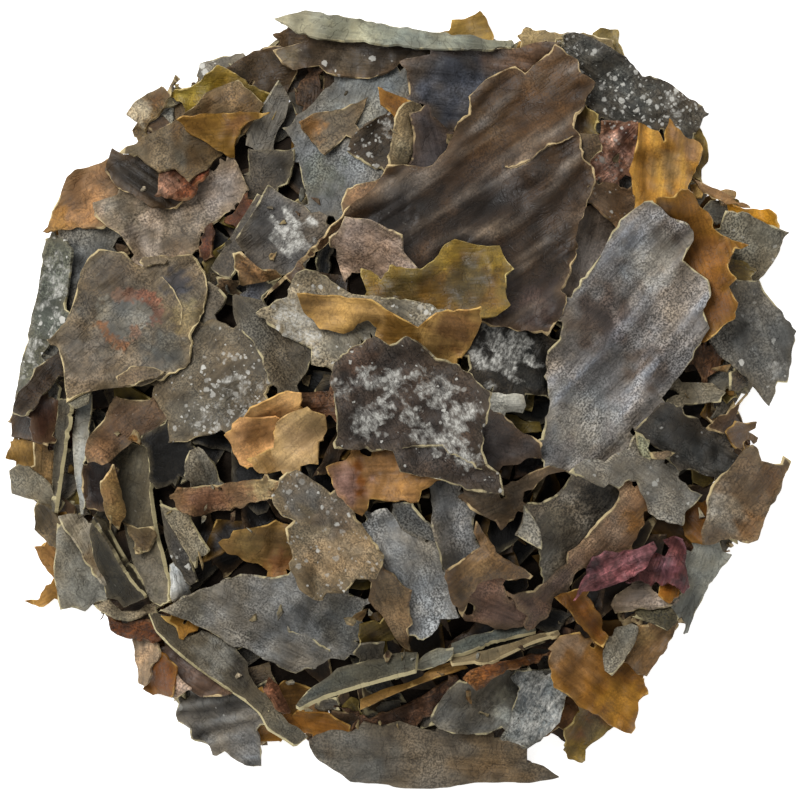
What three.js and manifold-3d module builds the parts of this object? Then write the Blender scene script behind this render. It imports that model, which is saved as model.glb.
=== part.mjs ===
// A loose heap of dried kelp flakes on a flat surface. Millimetres, +Z up, middle of the heap at the origin.
// The flakes are leathery cut blades that lie over each other on a low mound, so the heap is one solid:
// a smaller mound inside, with every flake that shows laid on it at its true size.
import * as THREE from 'three';
import Module from 'manifold-3d';

// The mound inside the heap, about 5 mm lower and shorter than the flakes that cover it.
const moundRadius = 43;
const moundHeight = 22.5;
const moundRimHeight = 0.8;
const moundRoundness = 2;
const moundFootFlare = 1.25;
const lumpWaves = [
  { height: 1, length: 17, heading: 25, start: 1.3 },
  { height: 0.8, length: 13, heading: 100, start: 0.4 },
  { height: 0.6, length: 21, heading: 155, start: 2.6 },
];
const outlineWaves = [
  { count: 2, swing: 1.2, start: 0.6 },
  { count: 3, swing: 0.9, start: 2.1 },
  { count: 5, swing: 0.7, start: 0 },
];
const moundRings = 8;
const moundSectors = 40;

// The dried blade: its thickness, how far it sags, ripples and curls, and how uneven its torn outline is.
const bladeThickness = 0.6;
const sagReachShare = 0.28;
const sagReachLeast = 2;
const sagReachMost = 5;
const rippleShare = 0.022;
const curlShare = 0.035;
const cornerSquareness = 0.62;
const cornerReach = 1.02;
const cornerDraw = 0.16;
const cornerTurnDraw = 0.28;
const smallBladeLength = 11;
const smallBladeCorners = 6;
const largeBladeCorners = 8;
const innerRingShare = 0.52;
const settledShare = 0.05;
const buriedShare = 0.55;
const floorClearance = 0.15;

// The survey grid that holds how high the heap has grown while the flakes are laid.
const gridHalf = 58;
const gridSide = 2 * gridHalf + 1;
const sampleStep = 0.7;
const flakeSeed = 4127;

// One row for each flake, in the order in which they lie: the middle x and y, length, width and heading of
// its long side in degrees from +X, as seen from above, and for a blade that stands on edge, its lean.
const skirtFlakes = [
  [-1, 46.2, 30, 3.4, -6],
  [8.5, 46.6, 6, 4, 15],
  [20.5, 44.9, 12, 3, -3],
  [-5, 42.6, 22, 5, -2],
  [8.5, 40.5, 19, 8, 22],
  [29, 40.3, 21, 8.5, -30],
  [33.5, 30.2, 11, 8.5, 65],
  [44.4, 23, 7, 3, -12],
  [44.4, 19.2, 9.5, 7.5, -30],
  [45, 7, 16.5, 9, 98],
  [38.4, 17, 19, 6.5, -70],
  [41.5, -1.5, 7.5, 2.2, 40],
  [42.6, -4.2, 5, 3.2, 10],
  [43.4, -12, 13.5, 9, 66],
  [37.8, -23, 13.5, 5, 64],
  [31.8, -31, 8.5, 5, 60],
  [25, -35.5, 16, 9.5, -42],
  [23, -42, 7, 4.8, 72],
  [4, -45, 31, 7.2, -3],
  [-22.6, -41.2, 12, 9, -24],
  [-30, -34.2, 6.5, 4.5, 80],
  [-31.8, -32.6, 6.5, 3.4, 78],
  [-33.8, -28.6, 8, 3.6, -12],
  [-44.4, -20.2, 5, 3.4, -55],
  [-44.6, -24.4, 6, 3, 18],
  [-40.4, -21.6, 13, 6, -72],
  [-44.2, -15.8, 6, 3.4, -70],
  [-46, -10.6, 6.6, 4, -24],
  [-46.8, -6.8, 5, 3.4, -8],
  [-46.8, -1.8, 7, 4, 72],
  [-45.4, 1.8, 8, 4, 48],
  [-44.6, 11, 21, 4, 77],
  [-40.4, 25.3, 11, 7.5, 48],
  [-31.2, 36.6, 9.5, 3.6, 50],
  [-19, 42.1, 12, 4, 16],
  [-22.4, 38.8, 13, 5.5, 6],
];
const slopeFlakes = [
  [-33, 28, 9.5, 5.5, 28],
  [-28.4, 22.6, 20, 9.5, 26],
  [-26, 33.8, 19, 9, 38],
  [-16.8, 35.5, 9, 4.4, 66],
  [-16.2, 28.8, 6.5, 6, 10],
  [-6.6, 32.4, 19, 12, 55],
  [-38.8, 19.4, 7.5, 4, -10],
  [-33.6, 9.6, 20, 16.5, 66],
  [27, 31.2, 8.5, 6, 80],
  [28.2, 8, 34, 17, 72],
  [35.6, -5, 13.5, 8, -20],
  [30, -10.6, 17.5, 7.5, -24],
  [-34.4, -3.8, 12.5, 7, 32],
  [-42.2, -7, 14.5, 1.8, 97, 72],
  [-39.9, -7, 15, 2, 90, 70],
  [-39.6, -17.8, 9.5, 4, -58],
  [-35.6, -20.6, 12, 4.6, -54, 30],
  [-31.4, -15.6, 20.5, 4.2, -79, 55],
  [-36, -12, 8.5, 3, -70],
  [-21.6, -34.6, 25, 5, -42, 25],
  [12.6, -38.4, 17.5, 9, -6],
  [-0.5, -38.6, 17, 4, 20],
  [-4.6, -35, 17.5, 3.6, 16, 50],
  [13, -33.2, 13, 3, 18],
  [12, -30.6, 15, 2.2, 12, 55],
  [28.2, -30.4, 9, 4, 60],
  [30.6, -25, 9, 3.6, 2],
  [29.4, -21, 15.5, 6.5, 4],
  [22.8, -26.6, 9.5, 4, -50],
];
const crownFlakes = [
  [-19.8, 20.4, 14, 4, 58],
  [-14.4, 20.8, 12.5, 8.5, 50],
  [7.4, 21.6, 42, 19, 32],
  [15, 37, 19, 12, 50],
  [-8.3, 34, 8.5, 5.4, 34],
  [-3, 32.2, 8.5, 5.4, 50],
  [3.7, 33, 7.5, 5, 95],
  [-23, 3, 15, 11.5, 22],
  [-29.4, -7.2, 8, 5.6, 80],
  [-24.4, -8.4, 6, 5, -20],
  [-26.8, -17, 9, 4, -56],
  [-17, -27.4, 26, 10.5, -10],
  [-18, -18.2, 9.5, 6, -5],
  [-22, -12.2, 14.5, 4.2, 8],
  [-18.4, -5, 7.5, 6.4, 20],
  [-13, -5.2, 9.5, 7.6, 12],
  [-9, -17, 19, 12, -56],
  [-1, -26, 11.5, 5, -66],
  [2.2, -21.8, 18, 7, -62],
  [20.4, -15.6, 14.5, 10.5, 30],
  [23, -19.4, 25, 6.4, 48],
  [12, -25.6, 8.5, 6.4, -38],
  [11, -20.4, 12.5, 5.4, -24],
  [6.6, -15.4, 10.5, 6, -76],
  [13.4, -11.6, 14, 5.4, 20],
  [14, -5, 9, 6.6, -30],
  [-16.2, 7, 12.5, 8.5, -50],
  [-11.8, 9, 12, 7.4, -40],
  [13.8, 5, 11.5, 8, 2],
  [-3.8, 18.8, 10.5, 7, -12],
  [6, 15, 18, 8.5, 12],
  [-1, 9.6, 23, 5.6, -5],
  [-2.4, -10, 14.5, 6.4, -6],
  [2, -1.4, 23, 15.5, -36],
];

// Mulberry32, so that every run draws the same flakes.
function seededDraw(seed) {
  let state = seed >>> 0;
  return () => {
    state = (state + 0x6d2b79f5) >>> 0;
    let mixed = Math.imul(state ^ (state >>> 15), state | 1);
    mixed ^= mixed + Math.imul(mixed ^ (mixed >>> 7), mixed | 61);
    return ((mixed ^ (mixed >>> 14)) >>> 0) / 4294967296;
  };
}

// Plan radius of the mound in one direction.
function moundOutline(angle) {
  const waveAt = ({ count, swing, start }) => swing * Math.sin(count * angle + start);
  return outlineWaves.reduce((radius, wave) => radius + waveAt(wave), moundRadius);
}

// Height of the mound over a point of the floor, nothing outside its outline.
function moundTop(x, y) {
  const share = Math.hypot(x, y) / moundOutline(Math.atan2(y, x));
  if (share > 1) {
    return 0;
  }
  const dome = (1 - share ** moundRoundness) ** moundFootFlare;
  const lumps = lumpWaves.reduce((sum, { height, length, heading, start }) => {
    const turn = THREE.MathUtils.degToRad(heading);
    const along = x * Math.cos(turn) + y * Math.sin(turn);
    return sum + height * Math.sin((2 * Math.PI * along) / length + start);
  }, 0);
  return moundRimHeight + (moundHeight - moundRimHeight) * dome + lumps * Math.sqrt(dome);
}

// The mound as rings of points round its top, closed by a flat underside.
function moundGeometry() {
  const points = [[0, 0, moundTop(0, 0)]];
  const triangles = [];
  const ringStart = (ring) => 1 + (ring - 1) * moundSectors;
  for (let ring = 1; ring <= moundRings + 1; ring += 1) {
    const share = Math.min(ring / moundRings, 1);
    for (let sector = 0; sector < moundSectors; sector += 1) {
      const angle = (2 * Math.PI * (sector + 0.5 * (ring % 2))) / moundSectors;
      const radius = share * moundOutline(angle);
      const x = radius * Math.cos(angle);
      const y = radius * Math.sin(angle);
      const onTop = share < 1 ? moundTop(x, y) : moundRimHeight;
      points.push([x, y, ring > moundRings ? 0 : onTop]);
    }
  }
  const underside = points.push([0, 0, 0]) - 1;
  for (let sector = 0; sector < moundSectors; sector += 1) {
    const next = (sector + 1) % moundSectors;
    triangles.push([0, ringStart(1) + sector, ringStart(1) + next]);
    for (let ring = 1; ring <= moundRings; ring += 1) {
      const inner = [ringStart(ring) + sector, ringStart(ring) + next];
      const outer = [ringStart(ring + 1) + sector, ringStart(ring + 1) + next];
      if (ring % 2) {
        triangles.push([inner[0], outer[0], outer[1]], [inner[0], outer[1], inner[1]]);
      } else {
        triangles.push([inner[0], outer[0], inner[1]], [inner[1], outer[0], outer[1]]);
      }
    }
    triangles.push([ringStart(moundRings + 1) + next, ringStart(moundRings + 1) + sector, underside]);
  }
  return { points, triangles };
}

// How high the heap has grown over each millimetre of the floor, starting with the bare mound.
const grown = new Float64Array(gridSide * gridSide);

function gridIndex(x, y) {
  const column = THREE.MathUtils.clamp(Math.round(x) + gridHalf, 0, gridSide - 1);
  const row = THREE.MathUtils.clamp(Math.round(y) + gridHalf, 0, gridSide - 1);
  return row * gridSide + column;
}

// Height of the heap at a point between the grid's millimetres.
function grownAt(x, y) {
  const [left, low] = [Math.floor(x), Math.floor(y)];
  const [atLow, atHigh] = [low, low + 1].map((row) => {
    return THREE.MathUtils.lerp(grown[gridIndex(left, row)], grown[gridIndex(left + 1, row)], x - left);
  });
  return THREE.MathUtils.lerp(atLow, atHigh, y - low);
}

function surveyMound() {
  for (let x = -gridHalf; x <= gridHalf; x += 1) {
    for (let y = -gridHalf; y <= gridHalf; y += 1) {
      grown[gridIndex(x, y)] = moundTop(x, y);
    }
  }
}

// Mean height of the heap round a point: a stiff blade sags only as far as this.
function sagHeight(x, y, reach) {
  let sum = 0;
  let count = 0;
  for (let dx = -reach; dx <= reach; dx += 1) {
    for (let dy = -reach; dy <= reach; dy += 1) {
      if (Math.hypot(dx, dy) <= reach) {
        sum += grown[gridIndex(x + dx, y + dy)];
        count += 1;
      }
    }
  }
  return sum / count;
}

// Calls visit on points spread over a triangle, no more than a sample step apart.
function overTriangle([a, b, c], visit) {
  const longest = Math.max(a.distanceTo(b), b.distanceTo(c), c.distanceTo(a));
  const steps = Math.ceil(longest / sampleStep);
  const point = new THREE.Vector3();
  for (let i = 0; i <= steps; i += 1) {
    for (let j = 0; j <= steps - i; j += 1) {
      point.copy(a).multiplyScalar(steps - i - j).addScaledVector(b, i).addScaledVector(c, j);
      visit(point.divideScalar(steps));
    }
  }
}

// Corners of a torn blade round its middle, along and across its length.
function bladeCorners(length, width, draw) {
  const count = length < smallBladeLength ? smallBladeCorners : largeBladeCorners;
  const squared = (value) => Math.sign(value) * Math.abs(value) ** cornerSquareness;
  return Array.from({ length: count }, (_, corner) => {
    const angle = (2 * Math.PI * (corner + cornerTurnDraw * (draw() - 0.5))) / count;
    const reach = cornerReach + cornerDraw * (draw() - 0.5);
    return [0.5 * length * reach * squared(Math.cos(angle)), 0.5 * width * reach * squared(Math.sin(angle))];
  });
}

// One blade, rippled and curled, laid on what is already there: a thin solid with both faces split alike.
function bladeGeometry([x, y, length, width, heading, lean = 0], draw) {
  const turn = THREE.MathUtils.degToRad(heading);
  const leanAngle = THREE.MathUtils.degToRad(lean);
  const rim = bladeCorners(length, width, draw);
  const count = rim.length;
  const plan = [[0, 0], ...rim.map(([u, v]) => [innerRingShare * u, innerRingShare * v]), ...rim];
  const reach = THREE.MathUtils.clamp(Math.round(sagReachShare * length), sagReachLeast, sagReachMost);
  const ripple = rippleShare * length;
  const rippleStart = 2 * Math.PI * draw();
  const curl = curlShare * width * (draw() - 0.3);
  const middle = plan.map(([u, v]) => {
    const px = x + u * Math.cos(turn) - v * Math.sin(turn);
    const py = y + u * Math.sin(turn) + v * Math.cos(turn);
    const wave = ripple * Math.sin((3 * Math.PI * u) / length + rippleStart) + curl * ((2 * v) / width) ** 2;
    return new THREE.Vector3(px, py, sagHeight(px, py, reach) + wave + v * Math.tan(leanAngle));
  });
  const face = [];
  for (let corner = 0; corner < count; corner += 1) {
    const next = (corner + 1) % count;
    const [innerHere, innerNext] = [1 + corner, 1 + next];
    const [rimHere, rimNext] = [innerHere + count, innerNext + count];
    face.push([0, innerHere, innerNext], [innerHere, rimHere, rimNext], [innerHere, rimNext, innerNext]);
  }
  const corners = ([a, b, c]) => [middle[a], middle[b], middle[c]];

  // The blade comes to rest once a small share of it has settled in, a leaning one pushed in further.
  const gaps = [];
  face.forEach((triangle) => overTriangle(corners(triangle), (point) => {
    gaps.push(grownAt(point.x, point.y) - point.z);
  }));
  gaps.sort((one, other) => other - one);
  const settled = gaps[Math.floor(settledShare * gaps.length)];
  const rise = settled + bladeThickness / 2 - buriedShare * width * Math.abs(Math.tan(leanAngle));
  middle.forEach((point) => {
    point.z = Math.max(point.z + rise, floorClearance + bladeThickness / 2);
  });
  face.forEach((triangle) => overTriangle(corners(triangle), (point) => {
    const index = gridIndex(point.x, point.y);
    grown[index] = Math.max(grown[index], point.z + bladeThickness / 2);
  }));

  const across = new THREE.Vector3(-Math.sin(turn), Math.cos(turn), 0);
  const halfThickness = across.multiplyScalar(-Math.sin(leanAngle));
  halfThickness.z = Math.cos(leanAngle);
  halfThickness.multiplyScalar(bladeThickness / 2);
  const upper = middle.map((point) => point.clone().add(halfThickness).toArray());
  const lower = middle.map((point) => point.clone().sub(halfThickness).toArray());
  const below = middle.length;
  const triangles = face.flatMap(([a, b, c]) => [[a, b, c], [c + below, b + below, a + below]]);
  for (let corner = 0; corner < count; corner += 1) {
    const here = 1 + count + corner;
    const next = 1 + count + ((corner + 1) % count);
    triangles.push([here, here + below, next + below], [here, next + below, next]);
  }
  return { points: [...upper, ...lower], triangles };
}

const wasm = await Module();
wasm.setup();

function solidOf({ points, triangles }) {
  const vertProperties = new Float32Array(points.flat());
  const triVerts = new Uint32Array(triangles.flat());
  return new wasm.Manifold(new wasm.Mesh({ numProp: 3, vertProperties, triVerts }));
}

// Lays every flake on the heap, and keeps the one body that they all grow together into, without scraps.
function heapSolid() {
  surveyMound();
  const draw = seededDraw(flakeSeed);
  let heap = solidOf(moundGeometry());
  for (const row of [...skirtFlakes, ...slopeFlakes, ...crownFlakes]) {
    heap = heap.add(solidOf(bladeGeometry(row, draw)));
  }
  return heap.decompose().reduce((best, body) => (body.volume() > best.volume() ? body : best));
}

function heapGeometry() {
  const { vertProperties, triVerts } = heapSolid().getMesh();
  const geometry = new THREE.BufferGeometry();
  geometry.setAttribute('position', new THREE.BufferAttribute(vertProperties, 3));
  geometry.setIndex(new THREE.BufferAttribute(triVerts, 1));
  geometry.computeBoundingBox();
  const { min, max } = geometry.boundingBox;
  geometry.translate(-(min.x + max.x) / 2, -(min.y + max.y) / 2, -min.z);
  geometry.computeVertexNormals();
  return geometry;
}

const driedKelp = new THREE.MeshStandardMaterial({ color: '#5e574b', roughness: 0.85, metalness: 0 });
const heap = new THREE.Mesh(heapGeometry(), driedKelp);
heap.name = 'kelp_flake_heap';

const group = new THREE.Group();
group.add(heap);

export default group;
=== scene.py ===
import math

import bpy
import numpy as np
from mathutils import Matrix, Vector
from mathutils.geometry import delaunay_2d_cdt


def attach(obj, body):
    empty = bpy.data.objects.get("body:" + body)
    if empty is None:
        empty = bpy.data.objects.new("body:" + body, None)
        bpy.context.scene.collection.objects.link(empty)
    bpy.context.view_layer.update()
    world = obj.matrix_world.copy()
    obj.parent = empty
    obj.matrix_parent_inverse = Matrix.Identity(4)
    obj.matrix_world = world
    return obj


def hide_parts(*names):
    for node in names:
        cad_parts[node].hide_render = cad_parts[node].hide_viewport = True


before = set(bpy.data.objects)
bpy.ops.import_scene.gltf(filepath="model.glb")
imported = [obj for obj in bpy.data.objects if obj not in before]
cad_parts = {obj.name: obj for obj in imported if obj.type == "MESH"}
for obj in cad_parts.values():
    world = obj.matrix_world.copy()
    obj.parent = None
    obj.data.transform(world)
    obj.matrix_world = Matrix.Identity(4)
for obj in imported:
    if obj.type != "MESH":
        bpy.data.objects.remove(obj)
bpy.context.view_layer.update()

heapNode = "kelp_flake_heap"
metresPerMm = 0.001          # every size below is in mm, Blender works in metres
firstSeed = 4127
lowest = 0.01                # nothing reaches the floor itself


def linear(hexColour):
    parts = [int(hexColour[i:i + 2], 16) / 255 for i in (0, 2, 4)]
    return np.array([p / 12.92 if p <= 0.04045 else ((p + 0.055) / 1.055) ** 2.4 for p in parts])


# Flakes that show, from the lowest to the topmost: kind, colour, outline in mm from the heap's middle and
# what differs from the plain shaping below
lowRim = [
    # top edge
    ("amber", "907840", "5,46.2 6.1,46.5 6.4,47.9 8,48 10,48.8 10.8,48.3 11.8,45.8 10,45.4 6.5,46"),
    ("olive", "7a6c4a", "24.2,46.1 25.2,46.8 27.3,46.5 28.3,43 27,44 26.8,45.3"),
    ("tan", "8a7a58", "14.7,45.8 15.8,46.7 18,46.4 20,46 21.5,46.3 24,45.8 26.8,45.2 26.6,44.2 24,45"
     " 20,45.2 15.5,44.7", dict(crumple=0.3)),
    ("brown", "4a3b28", "-15.9,45.9 -14.3,46.6 -12,45.9 -11,45.4 -12,44 -14.8,44.3"),
    ("slate", "6b675e", "-25.6,40.8 -25.2,42.3 -22.5,43.1 -19.7,43.6 -20.5,42.6 -22,41.9 -23.5,40.8"
     " -24.5,40", dict(bloom=0.35)),
    ("brown", "342a1c", "-21.8,41.8 -19.8,43 -18,43.9 -15,44.5 -15.3,42 -13,41 -15,37 -17.8,40 -19.5,40.4"),
    ("olive", "7d6422", "-28.6,38.5 -28,39.1 -25.6,39.8 -23,41.8 -22.2,41.9 -19.5,40.2 -17.8,38.8"
     " -16.4,38.4 -17,36.5 -22,36 -27,36.5", dict(patches="-26,38.5,2.5,8c7830 -19,40,2.5,5e5034")),
    ("tan", "54442a", "-34.4,35.9 -33.5,37.3 -31.5,38.5 -30,39.3 -29.2,38.7 -28.2,40.9 -27.6,40.3"
     " -28.5,39.5 -28.8,38 -30.3,36 -31.5,34.8 -32.3,33.2 -33.4,33 -33.7,34 -33,34.9",
     dict(crumple=0.8, patches="-33,36.5,1.8,8f8878 -30,38,1.5,6a4c2c")),
    # right edge
    ("olive", "443010", "37,33.5 38,33.9 38.8,31.5 38.6,30 37.9,29 37.8,27.5 36.8,27.9"),
    ("amber", "b5842a", "41,24.6 43.3,24.1 46.2,23.9 47.4,22.9 47.9,21.3 44,22.5 41.5,23.6"),
    ("slate", "726c5c", "40.3,22.2 40.9,23.8 43.5,23.4 47.9,21.3 48.9,21 46.5,16.8 45.1,15 42,14.8 41,17"
     " 40,20", dict(bloom=0.06)),
    ("olive", "36260a", "41.2,16.8 42,17.6 43.8,17.4 44.7,16.2 43.9,15.3 42.3,15.2 41.4,15.9"),
    ("slate", "5d5c56", "40,4.3 41.3,4.1 41,2 40.7,1 39.5,1.8 38,2.5 39.7,3.6"),
    ("slate", "463e34", "41.3,3.5 42.5,3.8 43.7,2.5 42.5,1.2 41.3,1.2"),
    ("rust", "523a26", "37,6.3 38.5,6.8 40.2,5.2 39.9,3.7 38,2.5 36.7,4.7"),
    ("slate", "6a665a", "34.2,1.5 35,2.2 39,2.2 40.7,0.9 40.2,-0.2 36,-0.6 33.3,-0.2 35,0.8"),
    ("slate", "66645e", "42,15 45.1,15 45.8,13.5 47.6,11.4 49.8,8.6 49.2,5 48.7,2.2 47.5,2.2 46.9,0.3"
     " 46.4,-0.8 45,0.8 44.2,2 42.5,3.5 41,5 39,7 38.7,7.7 40.5,9.2 42,10.5 42.4,12 41.3,14",
     dict(bloom=0.06, frost="47,4,1.5,.5")),
    ("brown", "a08050", "40,26.3 41,26.5 42.4,26.2 42,25.2 41,25.5"),
    ("brown", "856a48", "36.8,27.7 40,26.3 42.5,25 44,24.2 41,24.7 38,26", dict(dome=0.5)),
    # lower right
    ("slate", "868880", "37,-18.3 38,-18.1 40.2,-18.3 40.5,-19 41.7,-19.4 40.5,-21 39.3,-22.5 38.5,-24"
     " 37.5,-26 36.8,-27.5 36.2,-29.2 35.6,-29.5 35.7,-28 35,-26.5 34.3,-25.7 35.2,-24.3 36.3,-23.5"
     " 35.9,-21.5 36,-20", dict(tooth=0.3)),
    ("amber", "5a3a14", "35.5,-16 36.3,-14 37.5,-12.8 38.2,-13 38.3,-14.5 37.8,-16 38,-18.2 36.5,-18"
     " 35.8,-17"),
    ("brown", "6e5030", "17.5,-42.8 20,-41.2 22,-39.2 23.2,-38.2 21.5,-37.6 19.6,-39.4"),
    ("olive", "5a3c1c", "20.6,-41.3 21.8,-40.5 22.3,-39.3 23.3,-38.8 24.5,-39.5 26,-40.8 26.4,-41.5"
     " 25,-42.7 23.8,-43.5 23.3,-44 23.3,-45.3 22.8,-45.6 22,-45.3 21.2,-45 20.6,-44",
     dict(patches="23,-44.5,2,6e5420 24.5,-41.5,1.8,50442e")),
    # bottom
    ("amber", "7a5220", "-14,-39.9 -13,-39 -11,-39.2 -9,-39.3 -8,-40 -6.3,-40.8 -7,-41 -8.5,-41.5 -11,-42.2"
     " -12.5,-42"),
    ("amber", "8a5f1e", "-17.8,-42.8 -17.5,-41 -16.8,-41 -15.5,-42.2 -15,-42.9"),
    ("slate", "64625e", "-26,-37 -27.7,-38 -28.2,-39.5 -27.8,-40.5 -26.3,-41.2 -26,-42.5 -25,-43 -24,-43.6"
     " -23.5,-44.5 -23,-44.7 -22,-44.2 -20.5,-45.3 -19.5,-45.8 -18.5,-46 -17.4,-46 -17.4,-44 -17.8,-41.5"
     " -17.2,-40.5 -18.5,-39 -20,-37.8 -22,-37 -24,-37",
     # crest colour: painted sheen on the ridge tops, with painted shade in the hollows
     dict(ridges=(10, 2.6, 0.35), crest="848686", bloom=0.06, tooth=0.5)),
    ("brown", "54443a", "-29.5,-30.2 -27.5,-32 -25.5,-33.8 -23,-35.3 -21,-36.8 -22,-37 -25,-37.2 -26,-36.5"
     " -27.5,-34 -29.5,-31.5"),
    ("tan", "9a8578", "-29,-34.9 -28,-34.3 -27.5,-35 -26,-36.3 -27.3,-37 -28.3,-37.8 -28.2,-36"),
    ("amber", "5c3404", "-30,-31.5 -29,-32.5 -28,-33.5 -28,-34.5 -28.2,-36 -28.5,-37.3 -30,-37 -31,-37.2"
     " -32.3,-36.3 -31.5,-35 -31.2,-33.8"),
    ("tan", "98826a", "-33.7,-30.2 -32.5,-30.3 -31,-30.6 -30.2,-30.6 -30.2,-32 -31,-33.8 -31.5,-35.5"
     " -32,-36 -32.7,-35.5 -33,-33.5 -33.2,-32"),
    ("rust", "4c2a10", "-37.7,-27.7 -37.2,-26.8 -36.5,-28 -36.3,-28.8 -35.5,-29.5 -34.2,-30 -33,-30.2"
     " -31,-30.5 -30,-30.2 -30.5,-29.3 -31.5,-27.5 -33,-27.6 -34.5,-28 -36,-27.5 -36.5,-26.5"),
    # left edge
    ("amber", "9a7545", "-46,-18.5 -45,-18.3 -43.5,-18.5 -43,-20 -43.5,-22 -44.8,-21"),
    ("amber", "95713c", "-47.3,-25.3 -45.5,-24.9 -44.8,-23.8 -43.6,-22.6 -43,-24.5 -44,-25.8 -46,-25.8"),
    ("amber", "836838", "-49,-5.3 -47,-5 -45.5,-5.5 -45.2,-8 -45.7,-9 -48,-7.8 -49.5,-7.3 -49,-6.2"),
    ("tan", "7a6240", "-46,-5.2 -44.2,-5.8 -43.6,-8 -43.7,-11 -45,-10 -45.8,-8.5"),
    ("slate", "726b5a", "-49.1,-8.8 -48,-8 -46.5,-8.5 -45,-9.5 -43.7,-10.8 -43.2,-12.5 -43.2,-13.2"
     " -45,-12.8 -47,-12.3 -48.8,-11.7", dict(dome=0.6)),
    ("tan", "463e30", "-45.6,-12.9 -44,-13.2 -43.2,-14.2 -42.8,-15 -43.2,-18.4 -44,-18.3 -45.9,-16.2"
     " -46,-14"),
    ("brown", "180e04", "-47.2,1.5 -48.3,0.5 -48.7,-1.5 -49.4,-2.7 -48.7,-2.8 -49.1,-4.7 -46.5,-5 -46.2,-3"
     " -46.3,-1.5 -45.2,0.5 -44.5,1.5", dict(crumple=0.5)),
    ("brown", "3a2418", "-46.2,-1.5 -44.6,0.5 -43,0 -42.8,-2 -43.3,-4 -44,-6 -46,-5.2 -46.3,-3.5"),
    ("slate", "60605c", "-42.9,20.8 -40,21.5 -37,21.7 -35.2,20.6 -36,19.2 -37.5,17 -38,12 -40,8.5 -42.6,9"
     " -41.8,13 -41.2,16 -40.9,18.8 -42.5,19.6", dict(patches="-41.2,12.5,4,3a362f")),
    ("slate", "484a40", "-44.6,20.3 -42.5,20.5 -41,18.9 -41.4,15.5 -41.9,12 -42.4,9.3 -44,7 -46,4 -48.2,0.3"
     " -47.9,3 -47,7 -46.2,10.5 -45.3,15", dict(bloom=0.2, grain=80, frost="-43,15,4,.6 -45.5,6,5,.5")),
    ("frosted", "281e14", "-42.8,6 -42.3,5 -42.5,3.5 -43.5,2 -45,0 -46.5,-2 -48.8,-2 -48,0.8 -46.3,2.5"
     " -45.8,4", dict(crumple=0.5)),
    ("tan", "806448", "-44.8,21.2 -43.8,23.2 -42.9,25.3 -42,27.9 -41,28.8 -38,29.7 -36.5,30.4 -34.5,27.5"
     " -35,23.5 -37.3,21.6 -40,21.6 -42.5,21.4 -43.9,21",
     dict(tooth=0.5, patches="-44,22,3,8f6a38 -37,22,3,8a6a48")),
]

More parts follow.
